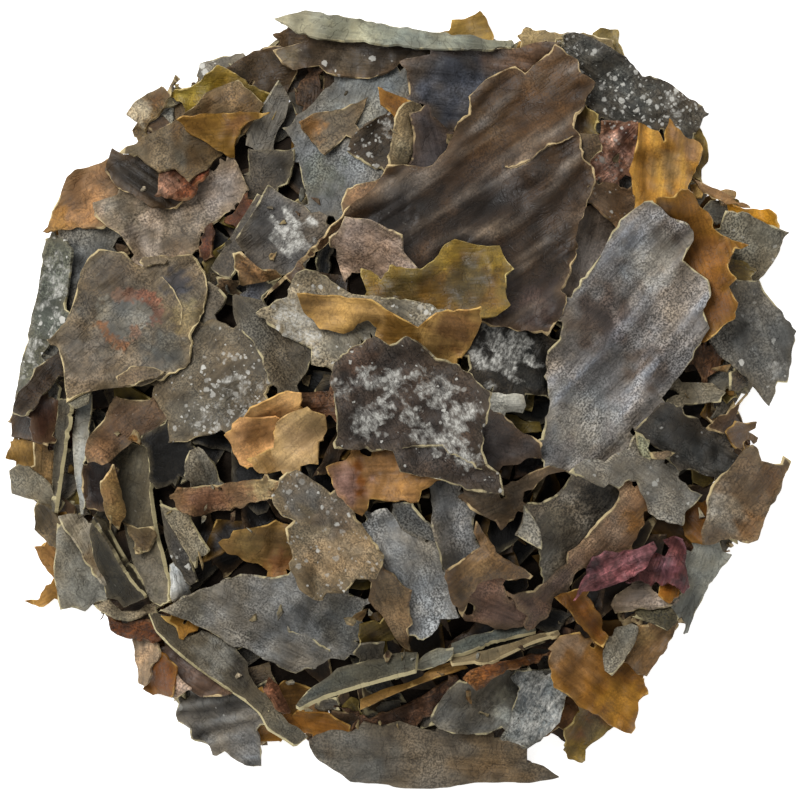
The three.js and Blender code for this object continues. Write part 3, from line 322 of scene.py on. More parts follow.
topLayer = [
    # right
    ("frosted", "24221e", "10.1,9.5 14.5,8.4 18,7.9 19.8,7.4 18.3,6 18,4 18.3,0.5 15,0.9 12,1.4 10,2.5"
     " 8.8,4 8.2,6.2 9.5,8", dict(grain=60, frost="12.8,6,4.2,.85", edgeShade=-0.04)),
    ("slate", "d8d2c0", "11,1 15.3,0.6 15.7,-0.6 15.2,-1.6 11,-1.3 10,0", dict(lift=1)),
    ("slate", "7c7772", "18,3 18.4,6 19.9,7.6 20.2,10 21,12.2 22.3,14.5 24.7,17.6 27.2,22 28.7,23.4"
     " 30.5,24.8 31.6,25 33.8,22.9 36.2,21.9 36.9,20.6 35.4,17.5 38.6,15 38.9,13.5 37.9,11.4 38.7,9 37,6.3"
     " 36.6,5 34.8,2.8 32.5,0 31,-2 29.2,-3.3 28.5,-4.5 28.4,-6 26.5,-7 25.7,-7.9 24,-7 22.8,-7 21.5,-8.5"
     " 20.9,-9 19,-8.3 17.5,-7.7 17.5,-6 18,-3 18.6,-1 18.7,0",
     # crest colour: painted sheen on the ridge tops, with painted shade in the hollows
     dict(grain=46, ridges=(46, 6.5, 0.5), crest="8b8d91", crumple=0.12, edgeShade=0.03,
          patches="25,10,4,5c5048 31,4,3,62574e 33.5,22,3,5f5a57 22.5,-2.5,5,8a8985 31,17.5,4,8c8d8c")),
    ("brown", "423933", "11.3,-1.5 12.5,-1.7 13.5,-2.5 15,-3.8 16,-4.3 17.4,-5.4 17.6,-7.2 16,-7.3 14.5,-8"
     " 12.8,-8.1 12.3,-8.9 10.7,-8.4 10.2,-6 10.4,-4"),
    # lower middle
    ("slate", "898986", "-3.9,-14.5 -3,-13.7 -1.7,-13.4 -1,-14.2 0,-16 1.3,-16.8 4,-17.9 5.1,-19 5.3,-21"
     " 6,-24 7.5,-27.2 5,-27.3 4.6,-28.5 3,-30 2,-30 1.6,-27 1.4,-23.7 -0.5,-21.8 -2.2,-20.9 -1.9,-19.3"
     " -2.5,-17.8 -4.5,-15.5", dict(grain=-65)),
    ("brown", "5f4e37", "-3.5,-22.3 -2.3,-20.9 -0.7,-21.8 0.5,-23.3 1.4,-23.8 1,-25.5 1.4,-28 0.9,-28.5"
     " 1.3,-31.5 0.5,-31 -1,-29 -2.2,-27 -4,-25"),
    ("slate", "454440", "1.5,-13 3.5,-15.5 5,-18.5 4.5,-17.8 1.5,-16.8 0.2,-16 -1,-14 -0.8,-13",
     dict(lean=(0.5, 0.4))),
    ("slate", "676561", "3.6,-10.7 4.8,-10 7.5,-11.3 7.2,-12 9.2,-13.9 9.1,-16 9.8,-18.3 8,-19.8 5.4,-21.1"
     " 5,-19 4.3,-17.2 4,-15.5 4,-13.5 3.5,-11.3", dict(grain=-75)),
    ("brown", "564c3e", "7.2,-12 8.5,-11.2 11,-11.8 13,-12 12.5,-10.8 15,-10 16.5,-8.9 18.3,-8.2 20.9,-8.9"
     " 18.5,-9.2 17.3,-10.2 16.6,-11 15.4,-11.4 15.2,-13 14,-14.8 12.6,-16.2 12,-15 11.4,-14.8 9.5,-14"
     " 8.5,-13"),
    ("tan", "72594c", "9.8,-23 11.2,-22.2 12.4,-22.2 13,-23.5 13.8,-25.2 15,-26.4 15.8,-27 15.7,-28"
     " 14.5,-28.5 12,-28.8 11,-28 8,-27.5 7.7,-27 9,-26.8 9.2,-25.8 8.6,-25"),
    ("brown", "5a4932", "9.5,-15 10.5,-16.6 12.2,-18.9 15,-20.7 16.6,-22 16.2,-22.4 12.3,-22.2 11,-22.4"
     " 9.8,-22.9 9.2,-24 8.4,-25.3 7.7,-26.8 6.5,-25.5 5.7,-22 5.6,-21.2 8.3,-19.7 10,-18.2 9.3,-16.5",
     # patches: the dark spot on its left is painted shade and the lighter one in its middle painted light
     dict(lift=0.4, patches="7.3,-23.5,1.6,40321f 9.5,-20.5,1.5,6e5a3e 14,-21,1.5,5e4a30")),
    ("slate", "585248", "14.4,-16.8 15.2,-15.3 15.4,-13 17.5,-12.7 19.2,-12.1 20.5,-10.7 21.3,-9.3"
     " 22.8,-9.6 25.3,-10.6 27,-11.2 27.2,-12.5 25.5,-14.2 23.7,-15.5 23.5,-17 22,-18 21,-19 20.5,-21"
     " 19.3,-22 18,-22.6 17.5,-20.5 17.5,-18.7 16,-17.8",
     # patches paint the light and shade of its curl: painted shade on its right, painted light on its left
     # and in a streak
     dict(patches="18.5,-20.5,2,706b60 24.5,-12.2,2.5,2e2b26 21,-11.8,1.3,77736a 19,-15,2,5f5b51")),
    ("slate", "68665e", "15.4,-13 16.1,-14 16.8,-15 17.3,-16 17.6,-17.6 17.6,-18.6 16,-17.8 14.4,-16.8"
     " 15.2,-15.3", dict(thick=0.2, lean=(0.5, -0.2), edgeShade=0.1)),
    ("tan", "866c56", "27.5,-11.2 28.8,-10.5 30,-11.5 30.6,-12.5 30.7,-14.8 30.2,-16 29.4,-17.5 28.5,-18.8"
     " 26.8,-18.5 24,-19.8 22,-21.8 20.5,-24 19.2,-24.5 18.5,-27 16,-29 15.5,-28 15.9,-27 14.2,-25.5"
     " 13.2,-23.8 14.5,-24.2 16.8,-24 17.5,-23.3 19,-21.8 20.8,-20.5 21,-19 22.5,-17.8 23.7,-16 25.5,-14.5"
     " 27,-12.8",
     dict(grain=45, dome=0.5,
          patches="28.5,-12.5,3.5,98795c 29.5,-15.5,2,90683a 25,-17,3,7a6654 20,-23,4,54443a"
          " 16,-26,4,54433a")),
    ("slate", "848076", "21,-9 22,-8 23.3,-7.2 25.6,-7.8 26.8,-6.8 28.5,-6 29.3,-4.4 29.8,-5.5 29.8,-6.8"
     " 31.2,-7.5 33.3,-8 35,-9.8 36.5,-11.2 38,-11.9 37.3,-12.8 36,-14 35.3,-15.8 33,-15.2 31,-14"
     " 30.6,-12.5 30,-11.2 29.6,-10 28,-10.3 27.4,-11.1 26,-10.5 25.5,-11 23.8,-10",
     dict(grain=-35, bloom=0.15)),
    ("frosted", "3e3c38", "29.2,-3.8 31,-2 32.5,-0.5 33.3,-0.3 35,-1 36,-2 37.4,-2.3 38,-3.3 39.5,-3.9"
     " 40.5,-4.3 41.3,-5.5 42,-6.7 41.3,-8 40,-9.5 38.5,-9.4 37,-8.8 35,-8.8 33.5,-7.3 34.5,-6.5 32.5,-6"
     " 31,-5 30,-4.2", dict(bloom=0.04, crumple=0.7)),
    ("slate", "8d8a6c", "29.2,-3.8 30,-4.3 31.2,-5 30.9,-6 31.5,-6.8 31.2,-7.4 30.2,-7 29.6,-5.5"),
    ("tan", "8d7a64", "31.2,-6.5 32,-6.2 33.5,-6.3 34.5,-6.6 33,-7.6 31.5,-7.3"),
    ("brown", "3a2c20", "44,1.2 43.3,1 41,-1.5 38.5,-3.6 40.5,-4.2 42,-2 43.2,0", dict(grain=50, dome=0.7)),
    ("amber", "4a3420", "40.8,-4 42,-2.6 43.3,-2.9 44.8,-2.7 44.6,-3.5 43.7,-4 45,-4.7 44.8,-5.3 43.5,-5"
     " 42,-6.2 41.5,-5.5", dict(crumple=0.5)),
    ("tan", "6c5c4a", "38.5,-12 40,-9.8 41.7,-8 43,-6.3 44.3,-5.5 45.3,-6.8 45.5,-7.5 47,-8 47.9,-8 48.2,-7"
     " 49.1,-7.7 48.5,-9 48.1,-10.5 47.9,-11.2 46.8,-13 45.8,-15 45.4,-16.5 45,-17.6 43.8,-18 42.5,-17.6"
     " 41.3,-17.3 40.2,-17.5 40,-18 38,-18.2 38,-16 38.5,-14",
     dict(ridges=(52, 9, 0.5), grain=52, patches="47,-10,2.5,6a523a 44,-16.5,2.5,72583c 40,-14,3,7c7468")),
    # lower right
    ("slate", "3c3828", "29,-27.2 31,-26.5 34,-25.9 35,-27.4 34,-28.5 33.5,-28.9 31.5,-28 30,-27.4"),
    ("slate", "706c60", "25.4,-31.5 26.3,-29.7 27.5,-28.6 29,-28 29.8,-28.4 29.6,-30 28.5,-32 27.3,-33.7"
     " 26.5,-34.5 25.7,-34", dict(dome=1.1, grain=60)),
    ("amber", "603c14", "19.3,-24.7 20.7,-24 22.2,-23.8 23,-24 24,-25.5 25,-27 25.5,-28.8 26.2,-29.6"
     " 25.4,-31 24.5,-30.4 23,-29 22,-27.3 20.5,-25.8", dict(grain=-50, dome=-0.6)),
    ("tan", "7c7066", "26.4,-25.8 27,-24.5 29,-23.2 31,-23.3 32.3,-24 32.5,-24.8 34,-25.3 35,-24.9"
     " 34.5,-25.5 33,-26 31,-26.2 28,-26.6 27,-26.8", dict(dome=0.6)),
    ("amber", "7a4e1e", "32.2,-24.5 32.5,-23.5 34,-23.6 35,-24 35,-24.8 34,-25.3 33,-25.1"),
    ("crimson", "5a3634", "28.5,-22.7 30.5,-21 32,-19.3 33.2,-19.6 34,-18.5 33.2,-17.6 34.3,-17.2"
     " 35.6,-17.3 36,-18.5 35.8,-20 36,-22 36.3,-23.5 35.5,-24.3 34.3,-23.8 33.5,-22.9 31.5,-23.1",
     dict(grain=70, crumple=1.1, patches="33.5,-21,1.5,6a464c 35,-23,1,3a2426")),
    ("crimson", "8a585a", "21.7,-25.2 22.5,-23.3 23.3,-21.5 24,-19.6 25.2,-19.2 26.2,-18.7 27,-19.1"
     " 28.5,-18.8 30,-18.5 31.8,-17.9 32.2,-18.6 31.2,-20 29.8,-21.6 28.3,-22.5 26.5,-23.2 24.5,-23.9"
     " 22.8,-24",
     # crest colour: painted sheen on the folds, with painted shade in the hollows
     dict(grain=25, ridges=(25, 2.6, 0.45), crest="8c5e62",
          patches="23.5,-21,2,4a3034 30.5,-19.2,1.5,845c60")),
    # big blade in two lobes, and what lies on it
    ("brown", "382a1c", "-17.3,12.3 -12,17.8 -9.2,20.8 -7,23.5 -3,26.8 -1.6,29.3 3.2,29.1 4,29.3 5.5,31"
     " 6.5,33 7.2,34.9 8.7,35.8 8.9,36.8 8.6,38 10.5,40 12,40.9 14.5,41.9 15.7,41 17.5,42.5 19.5,44.7"
     " 21,43.5 22.2,42.6 22.8,40.9 24.4,39.8 23.6,38.2 23.3,36.8 22.2,35.8 21.8,34 22.6,33 22.8,31 23.2,30"
     " 24.2,29 24.4,27.2 23.4,24.7 22.2,21 21.8,20 22.2,19 21.4,16.5 20.2,13.7 20.9,12.2 20.5,11 18.2,8.2"
     " 13,9 9,10 5,13 2,16.5 -2,20 -8.5,19.8 -10.5,18.3",
     # crest colour: painted sheen on the ridge tops, with painted shade in the hollows
     dict(grain=34, ridges=(34, 5.5, 0.38), crest="645c53", crumple=0.15, edgeShade=0,
          tear=("12.5,28.8 14.5,29.1 16.3,29.9 18.5,31.7 20.5,32.3 22.6,33.3", 0.5),
          patches="18,38,6,4a3824 12,34,5,443320 20,43,3.5,523c24 14,26,5,33281e 0,23,5,28211b"
          " 8.5,22,6,2a221b 17.5,16,6,2c2218 -13,16,3,44372a 17,11,4,352b27")),
    ("tan", "86766c", "-8.9,20.2 -7.8,21 -6.9,22.9 -3.5,22.3 -1.5,21.2 0.3,20.5 0.5,18.3 2,16.6 -1,15.5"
     " -4.5,15.8 -6.1,16 -6.7,14.6 -7.2,15.5 -8,18.8 -8.8,19"),
    ("olive", "604618", "-4.9,16.4 -3.6,16.2 -2.4,15 -1,16.8 2.5,16.2 4.2,17.3 5.5,19.3 6.8,20 8,19.7"
     " 10,19.2 12.4,19.2 13.3,17.3 14.2,16.3 13.2,15.5 13.4,13.5 13.7,11.8 12,10.4 10,10.2 7,10.8 4,12"
     " 0,12.2 -2.5,12.5 -4,13.3 -4.9,15.5",
     dict(edgeShade=0.02, patches="8.5,15,3.5,4e4022 0,14,3,524222 11.5,18,2,786022 5.5,18,2,786022")),
    # left of the middle
    ("tan", "575044", "-26,7 -24.8,9.4 -23.3,10.3 -20.2,8.7 -17.8,6.5 -16.4,2.3 -16.6,1 -18.5,-1 -20,-2.3"
     " -21.3,-3 -23,-4.2 -25.5,-4.7 -26.5,-5.2 -29,-5.3 -29,-2.5 -30,-1 -31,0.5 -30.5,2.3 -27.5,3.5 -26,4.8",
     dict(bloom=0.15, crumple=0.3, drops="-21,1,5,.7 -24,-2,4,.6 -19,6,3,.4",
          frost="-20,0.5,4,.5 -24,-3,3,.45")),
    ("slate", "4c473d", "-20.9,12.9 -20.5,13.2 -17.5,12.5 -16.5,12 -14,9 -11,6.4 -11,4.5 -12,3 -13,1.5"
     " -15,1.2 -16.3,2.3 -16.8,4 -17.5,5.8 -18.3,7.2 -19.5,8.4 -20.3,9.5 -20.8,11", dict(grain=-50)),
    ("slate", "7a7363", "-17.8,10.8 -16.2,12 -14.2,13 -13,15.7 -11.8,16.3 -9.5,15.5 -6,13.2 1.5,12.4"
     " 6.5,10.8 4,9 -2,9 -6,7 -8.3,3.8 -11,4.4 -11,6.3 -14.5,8.2",
     dict(grain=-30, bloom=0.15, frost="-13,9.5,4.5,.65", patches="-10,14,3,645e50 -1,11,3,625d50")),
    ("amber", "a38450", "-12.8,13.3 -8,12.8 -3.5,12.4 -1.3,11 2.2,9 4.5,10.8 10,11.5 10.2,9.8 9.5,8.2"
     " 8.5,6.3 7.8,5 5,5 3.8,6.2 1,7.7 -1,7 -3,7.8 -2.8,9 -4,9.8 -5.2,9.5 -5.8,8.7 -7,8.3 -9.8,8.9 -12,11",
     dict(grain=-5, patches="-11,12,2,8f7348 7,9,3,80603a 0,9,3,6c5024")),
    ("slate", "5c5d56", "-42,-0.5 -41.6,0.8 -40,1.6 -38.6,1 -39,-0.4 -40.6,-1"),
    ("tan", "5c5244", "-38.8,18.2 -37.8,18.8 -35,18.6 -33.5,17.3 -32.3,16.7 -31.2,17.9 -29.3,18 -26,18.2"
     " -24.4,16 -24,13.8 -24.6,11 -25.9,8 -26,4.6 -28.5,3.1 -33,1.6 -35.3,1.5 -37.5,1.4 -40,0.6 -41.7,-0.4"
     " -42.2,4 -42.7,6.2 -44.3,7.6 -42.2,9.5 -41.3,11 -40.2,15",
     dict(curl=0.8, edgeShade=-0.02, tear=("-27.2,9 -27,11.5 -28.3,14 -30,16", 0.3),
          patches="-28,14.7,2,3e3c3e -26.5,10,2.5,6c6046 -34,3.5,4,6c6254 -40,5,4,645c52 -36,16,3,564d42"
          " -38.5,12,2.5,4e483f -29,6,3,4e4c46 -31,2.5,2.5,695f52",
          marks="-33.2,12.6,1.2,6c4a3b -31.7,12.1,1.5,704c3c -30.9,10.9,1.2,684e42 -37.1,9.7,.8,74533a"
          " -36,8.5,1.1,76543a -34.9,7.2,.9,6c4e38 -33.3,8.7,.9,70594a -36.5,11.2,1.4,67655e"
          " -34.5,11,1.8,63615b -32.5,10.8,1.4,65635d -35.1,9.6,1.4,63615b -34.6,8.4,.8,5f5d57"
          " -35.1,13.1,.8,7a6252 -33.8,13.2,.8,785a4a", inner=0.3)),
    ("tan", "5a4e40", "-35.6,2.9 -34.6,3.7 -33,4.2 -31,4.1 -29.3,3.5 -30.5,2.6 -32.5,2 -35.3,1.6",
     dict(thick=0.25, dome=0.4, edgeShade=0.12)),
    ("tan", "564a3c", "-32.6,17.2 -31.8,17.8 -30.2,18 -29,17.5 -29.4,16.7 -30.6,16.9 -31.8,16.6",
     dict(thick=0.25, dome=0.3, edgeShade=0.12)),
    ("rust", "563c28", "-12.5,1 -8.2,1 -8,-0.5 -8.2,-2 -9.5,-1.3 -10.5,-0.6 -12,-0.8"),
    ("amber", "cca46c", "-19.3,-2 -18.6,-1 -15.5,0.5 -14.2,1.2 -12.3,0.8 -12,0 -12.5,-1 -14,-1.9 -16,-2.2",
     dict(grain=25)),
    ("amber", "ca9e6c", "-21.8,-4.3 -21,-3.2 -20,-2 -18,-2.2 -15.5,-2 -16,-3.5 -15.7,-6 -17,-6.5 -18.8,-7.4"
     " -18.5,-8.2 -19,-8.7 -20,-8 -20.8,-6.5 -21,-5.5", dict(patches="-18,-4,2,947048")),
    ("amber", "a89069", "-15.5,-3.2 -14.5,-2.3 -13,-1.5 -11.5,-0.9 -10.2,-1.6 -9.3,-1.9 -9.1,-3.5 -9.5,-5"
     " -10.1,-5.2 -10.2,-8 -12,-8.2 -14,-8.6 -16.5,-9.2 -17.5,-9.2 -18.2,-8.4 -18.9,-7.5 -17,-6.5 -15.7,-6",
     dict(patches="-17,-8,2,8f744c")),
    ("tan", "685c49", "-12.9,-8.7 -12.3,-8.9 -10,-10.5 -8,-12.2 -6,-14 -4.5,-15.8 -2.8,-18 -2,-19.5"
     " -2.3,-21 -3,-22.2 -4,-22.3 -5.5,-22.2 -6.2,-23.3 -7,-24 -9.2,-24 -9.6,-25 -11,-24.7 -12.5,-23.8"
     " -13,-22.2 -13.7,-21.2 -13.5,-19.5 -13.9,-18 -14.2,-16 -13.2,-15 -14.8,-14.3 -15.7,-13 -15.9,-11.8"
     " -15.2,-10.8 -15,-9.8 -14,-9",
     dict(grain=-50, bloom=0.3, patches="-12,-11,3,66615a -8,-19,4,86765f -8,-14,3,6a5e50")),
    # middle
    ("amber", "80603c", "-9.2,-8.3 -7.5,-7.5 -5.5,-6.8 -3,-6.8 -0.9,-7 0,-9 2.5,-9.2 4.9,-9.9 3.5,-10.8"
     " 2.7,-11.2 2.3,-12.7 -0.5,-12.7 -2,-12.3 -3.8,-12.3 -4,-13.5 -4.7,-14.5 -6,-13.5 -7.9,-11.5"
     " -8.2,-10.5",
     dict(patches="-7,-10.5,3,84695e -5.2,-8.2,.7,74481f -5,-10,.7,764a22 -4.9,-11.6,.7,724824"
          " 1,-10.5,2,9a7444")),
    ("frosted", "38302a", "-8.2,4.8 -6.5,6.3 -5,6.9 -3.2,8 -1.3,6.8 0.9,7.7 2.5,7 4.5,5.1 6,4.9 8.5,3.5"
     " 10,2.3 11.2,0.9 11.2,-0.6 10.5,-3.2 10.2,-5.4 10.8,-8 12.4,-9.2 13,-12 11.8,-11.6 8,-11 4.8,-9.9"
     " 0,-8.9 -0.5,-7.5 -0.8,-6.3 -3.5,-6.2 -8,-6 -8.3,-5.2 -7.8,-4 -8,-1 -8.2,1 -8.6,2.3",
     dict(lift=0.3, bloom=0.1, grain=-60, edgeShade=0,
          tear=("-0.9,-6.3 1.8,-5.9 5.3,-5.8 6.1,-6.7 7.9,-7.4 9.5,-8.5 11,-8.8", 0.5),
          frost="-6.8,1.2,1.8,.65 -4.3,2.7,2,.8 -1,2.3,2.2,.8 2.8,2.4,2.2,.75 5.2,.6,2.4,.75"
          " -4.4,-2.8,2.1,.9 -2.2,-1.2,1.7,.75 1.6,-1.6,1.8,.7 3.2,-4,2,.75 7.2,-2.2,1.9,.9 9,-1.3,1.5,.75"
          " 6.6,-4.7,2.1,.9 8.4,-7.2,1.9,.85 5.2,-5.7,1.7,.75", patches="-5.5,5.5,3,45352a 5,4,3,3c342d")),
]

# How each kind of flake is shaped, in mm: wave is the flutter of its edge, rim how far the skin stands back
flakeShape = {
    "slate":   dict(thick=0.28, ragged=0.10, curl=0.6, crumple=0.28, wave=1.1, rim=0.04),
    "brown":   dict(thick=0.26, ragged=0.11, curl=0.7, crumple=0.28, wave=1.2, rim=0.04),
    "amber":   dict(thick=0.20, ragged=0.12, curl=0.8, crumple=0.34, wave=1.4, rim=0.03),
    "olive":   dict(thick=0.20, ragged=0.12, curl=0.8, crumple=0.34, wave=1.4, rim=0.03),
    "tan":     dict(thick=0.28, ragged=0.11, curl=0.6, crumple=0.30, wave=1.2, rim=0.04),
    "rust":    dict(thick=0.30, ragged=0.16, curl=0.7, crumple=0.50, wave=1.2, rim=0.04),
    "frosted": dict(thick=0.28, ragged=0.12, curl=0.6, crumple=0.36, wave=1.2, rim=0.04),
    "crimson": dict(thick=0.20, ragged=0.20, curl=0.6, crumple=0.80, wave=2.2, rim=0.03),
}
# Plain shaping: lean is its slope in x and y, ridges their turn, pitch and height, crest the colour of the
# painted sheen on their tops, tear the line of a tear and how far its lip stands up, step and inner the
# pitch of the mesh, settle the share of the flake that clears what is below, edgeShade and cut how much
# less or more of its edge is straw-coloured.
# Patches and marks are spots of another colour, drops and frost are spots of salt.
flakePlain = dict(lean=None, dome=0, lift=0, ridges=None, crest=None, grain=None, tooth=1, bloom=0, drops="",
                  frost="", patches="", marks="", tear=None, cut=0, step=0.3, inner=0.45, settle=0.97,
                  edgeShade=0.09)
cell = 0.25                  # grid on which the flakes are laid on each other
gridHalf = 58
axis = np.arange(-gridHalf, gridHalf + cell / 2, cell)
grown = np.zeros((len(axis), len(axis)))     # height of all that is laid so far, rows along y
made = {kind: [] for kind in flakeShape}     # mesh arrays of the finished flakes


def pointsOf(text):
    return np.array([[float(v) for v in pair.split(",")] for pair in text.split()])


def blurred(field, reach):
    # three running means in each direction, close to a soft round blur
    half = max(1, round(reach / cell / 2))
    for turn in range(3):
        for side in (0, 1):
            pad = [(0, 0), (0, 0)]
            pad[side] = (half + 1, half)
            total = np.cumsum(np.pad(field, pad, mode="edge"), axis=side)
            width = 2 * half + 1
            field = (total[width:] - total[:-width] if side == 0 else total[:, width:] - total[:, :-width])
            field = field / width
    return field


def swells(x, y, size, dice, count=7):
    # smooth random relief, about -1 to 1, with swells of that size in mm
    total = 0
    for turn in range(count):
        heading = dice.uniform(0, math.tau)
        pitch = math.tau / (size * dice.uniform(0.7, 1.7))
        along = x * math.cos(heading) + y * math.sin(heading)
        total = total + np.sin(along * pitch + dice.uniform(0, math.tau))
    return total / math.sqrt(count)


def softNoise(count, width, dice):
    # random wander along a closed line, smoothed over that many points
    raw = dice.normal(0, 1, count)
    width = max(1, min(width, count // 3))
    kernel = np.hanning(width + 2)[1:-1]
    kernel /= math.sqrt((kernel ** 2).sum())
    return np.convolve(np.r_[raw, raw, raw], kernel, mode="same")[count:2 * count]


def outwards(loop):
    run = np.roll(loop, -1, 0) - np.roll(loop, 1, 0)
    normal = np.c_[run[:, 1], -run[:, 0]]
    return normal / np.maximum(np.linalg.norm(normal, axis=1), 1e-9)[:, None]


# Torn edge: a turn that stays sharp, the run of a jag in steps, in mm how far it drifts and stays calm, and
# in mm the bites out of the skin along it
tearing = dict(sharp=0.8, jagRun=2.3, jags=0.9, drift=0.5, driftReach=1.8, calmReach=5, jagged=0.7,
               jaggedSwing=0.6, jaggedLimits=(0.15, 1.7), limits=(-2.2, 1.6), biteSize=2.5,
               biteLimits=(0.1, 2.4))


def tornOutline(corners, step, ragged, dice):
    # gentle curves between the corners, sharp tips kept, then a tear that is clean here and jagged there
    if (corners[:, 0] * np.roll(corners[:, 1], -1) - corners[:, 1] * np.roll(corners[:, 0], -1)).sum() < 0:
        corners = corners[::-1]
    before, after = np.roll(corners, 1, 0), np.roll(corners, -1, 0)
    into, onward = corners - before, after - corners
    turn = np.arctan2(into[:, 0] * onward[:, 1] - into[:, 1] * onward[:, 0], (into * onward).sum(1))
    ease = np.clip(1 - np.abs(turn) / tearing["sharp"], 0, 1)[:, None]
    heading = (after - before) / np.maximum(np.linalg.norm(after - before, axis=1), 1e-9)[:, None]
    loop = []
    for i in range(len(corners)):
        k = (i + 1) % len(corners)
        chord = corners[k] - corners[i]
        length = np.linalg.norm(chord)
        leave = chord * (1 - ease[i]) + heading[i] * length * ease[i]
        arrive = chord * (1 - ease[k]) + heading[k] * length * ease[k]
        count = max(1, round(length / step))
        t = np.arange(count)[:, None] / count
        loop.append((2 * t**3 - 3 * t**2 + 1) * corners[i] + (t**3 - 2 * t**2 + t) * leave
                    + (3 * t**2 - 2 * t**3) * corners[k] + (t**3 - t**2) * arrive)
    loop = np.concatenate(loop)
    knots = np.arange(0, len(loop) + 3, tearing["jagRun"])
    jags = np.interp(np.arange(len(loop)), knots, dice.normal(0, 1, len(knots)))
    drift = softNoise(len(loop), round(tearing["driftReach"] / step), dice)
    swing = tearing["jaggedSwing"] * softNoise(len(loop), round(tearing["calmReach"] / step), dice)
    jagged = np.clip(tearing["jagged"] + swing, *tearing["jaggedLimits"])
    wander = (tearing["jags"] * jags + tearing["drift"] * drift) * jagged
    return loop + outwards(loop) * np.clip(wander, *tearing["limits"])[:, None] * ragged


def windowOf(loop, margin=1.5):
    low = np.floor((loop.min(0) - margin + gridHalf) / cell).astype(int)
    high = np.ceil((loop.max(0) + margin + gridHalf) / cell).astype(int) + 1
    return slice(low[1], high[1]), slice(low[0], high[0])


def covered(loop, window):
    # cells of the window inside the outline, row by row
    xs, ys = axis[window[1]], axis[window[0]]
    hit = np.zeros((len(ys), len(xs)), bool)
    for (ax, ay), (bx, by) in zip(loop, np.roll(loop, -1, 0)):
        if ay > by:
            ax, ay, bx, by = bx, by, ax, ay
        for row in range(np.searchsorted(ys, ay), np.searchsorted(ys, by)):
            hit[row] ^= xs < ax + (bx - ax) * (ys[row] - ay) / (by - ay)
    return hit


def nearestTo(line, points):
    return np.sqrt(((points[:, None] - line[None]) ** 2).sum(2)).min(1)


def spread(mask, cells):
    for turn in range(cells):
        mask = mask | np.roll(mask, 1, 0) | np.roll(mask, -1, 0) | np.roll(mask, 1, 1) | np.roll(mask, -1, 1)
    return mask


def outsideOf(mask):
    # cells that can be reached from the border of the grid without crossing the mask
    out = np.zeros_like(mask)
    out[0] = True
    while True:
        more = spread(out, 8) & ~mask
        if (more == out).all():
            return out
        out = more


def sample(field, window, points):
    # value of a window's field at free points, by straight blending between cells
    x = (points[:, 0] + gridHalf) / cell - window[1].start
    y = (points[:, 1] + gridHalf) / cell - window[0].start
    i = np.clip(np.floor(x).astype(int), 0, field.shape[1] - 2)
    j = np.clip(np.floor(y).astype(int), 0, field.shape[0] - 2)
    u, v = x - i, y - j
    return ((field[j, i] * (1 - u) + field[j, i + 1] * u) * (1 - v)
            + (field[j + 1, i] * (1 - u) + field[j + 1, i + 1] * u) * v)


spot = dict(fade=1.25, uneven=0.22, unevenSize=0.6, soft=1.7, crisp=5)


def spots(text, x, y, dice, crisp=spot["soft"]):
    # spots with uneven edges: centre, reach and what each one holds
    for item in text.split():
        cx, cy, reach, held = item.split(",")
        reach = float(reach)
        uneven = spot["uneven"] * swells(x, y, reach * spot["unevenSize"], dice)
        fade = 1 - np.hypot(x - float(cx), y - float(cy)) / (reach * spot["fade"]) + uneven
        fade = np.clip(fade * crisp, 0, 1)
        yield fade * fade * (3 - 2 * fade), held


# How a flake comes to lie, in mm: drape is how far it follows what is below, by its size and within limits,
# one under stiffBelow hardly bends, then its bends, crumples and fluttering edge, and how it gives way
resting = dict(halfSpan=1.6, drape=0.3, drapeLimits=(2, 5), steepest=0.8, stiffBelow=9, leanBend=0.2,
               bends=(-0.4, 1), crossBend=0.8, crumples=(5, 2), smallCrumple=0.4, flutter=4.5,
               flutterReach=2.2, pushes=(2.4, 1.2, 0.6), clear=0.06, ground=0.02)
# Ridges of a blade and the finer folds between them: wander is how far a line strays, fade how it comes and
# goes, both over sizes in mm that are drawn out along the ridge
ridge = dict(wander=1.3, wanderSize=9, wanderOut=2.5, full=0.75, fade=0.4, fadeSize=6, fadeOut=3)
fold = dict(share=0.4, pitch=0.38, leastPitch=1.6, wander=1.6, wanderSize=4, full=0.2, fadeSize=5, out=3)


def ridgesAlong(run, side, pitch, dice):
    # long ridges, about -1 to 1 high, with finer folds between them that come and go
    wander = ridge["wander"] * swells(run / ridge["wanderOut"], side, ridge["wanderSize"], dice)
    crest = np.sin(side * math.tau / pitch + wander)
    fade = ridge["fade"] * swells(run / ridge["fadeOut"], side, ridge["fadeSize"], dice)
    crest = crest * np.clip(ridge["full"] + fade, 0.1, 1.3)
    wander = fold["wander"] * swells(run / fold["out"], side, fold["wanderSize"], dice)
    fine = np.sin(side * math.tau / max(fold["leastPitch"], fold["pitch"] * pitch) + wander)
    fade = swells(run / fold["out"], side, fold["fadeSize"], dice)
    return crest + fold["share"] * fine * np.clip(fold["full"] + fade, 0, 1.2)


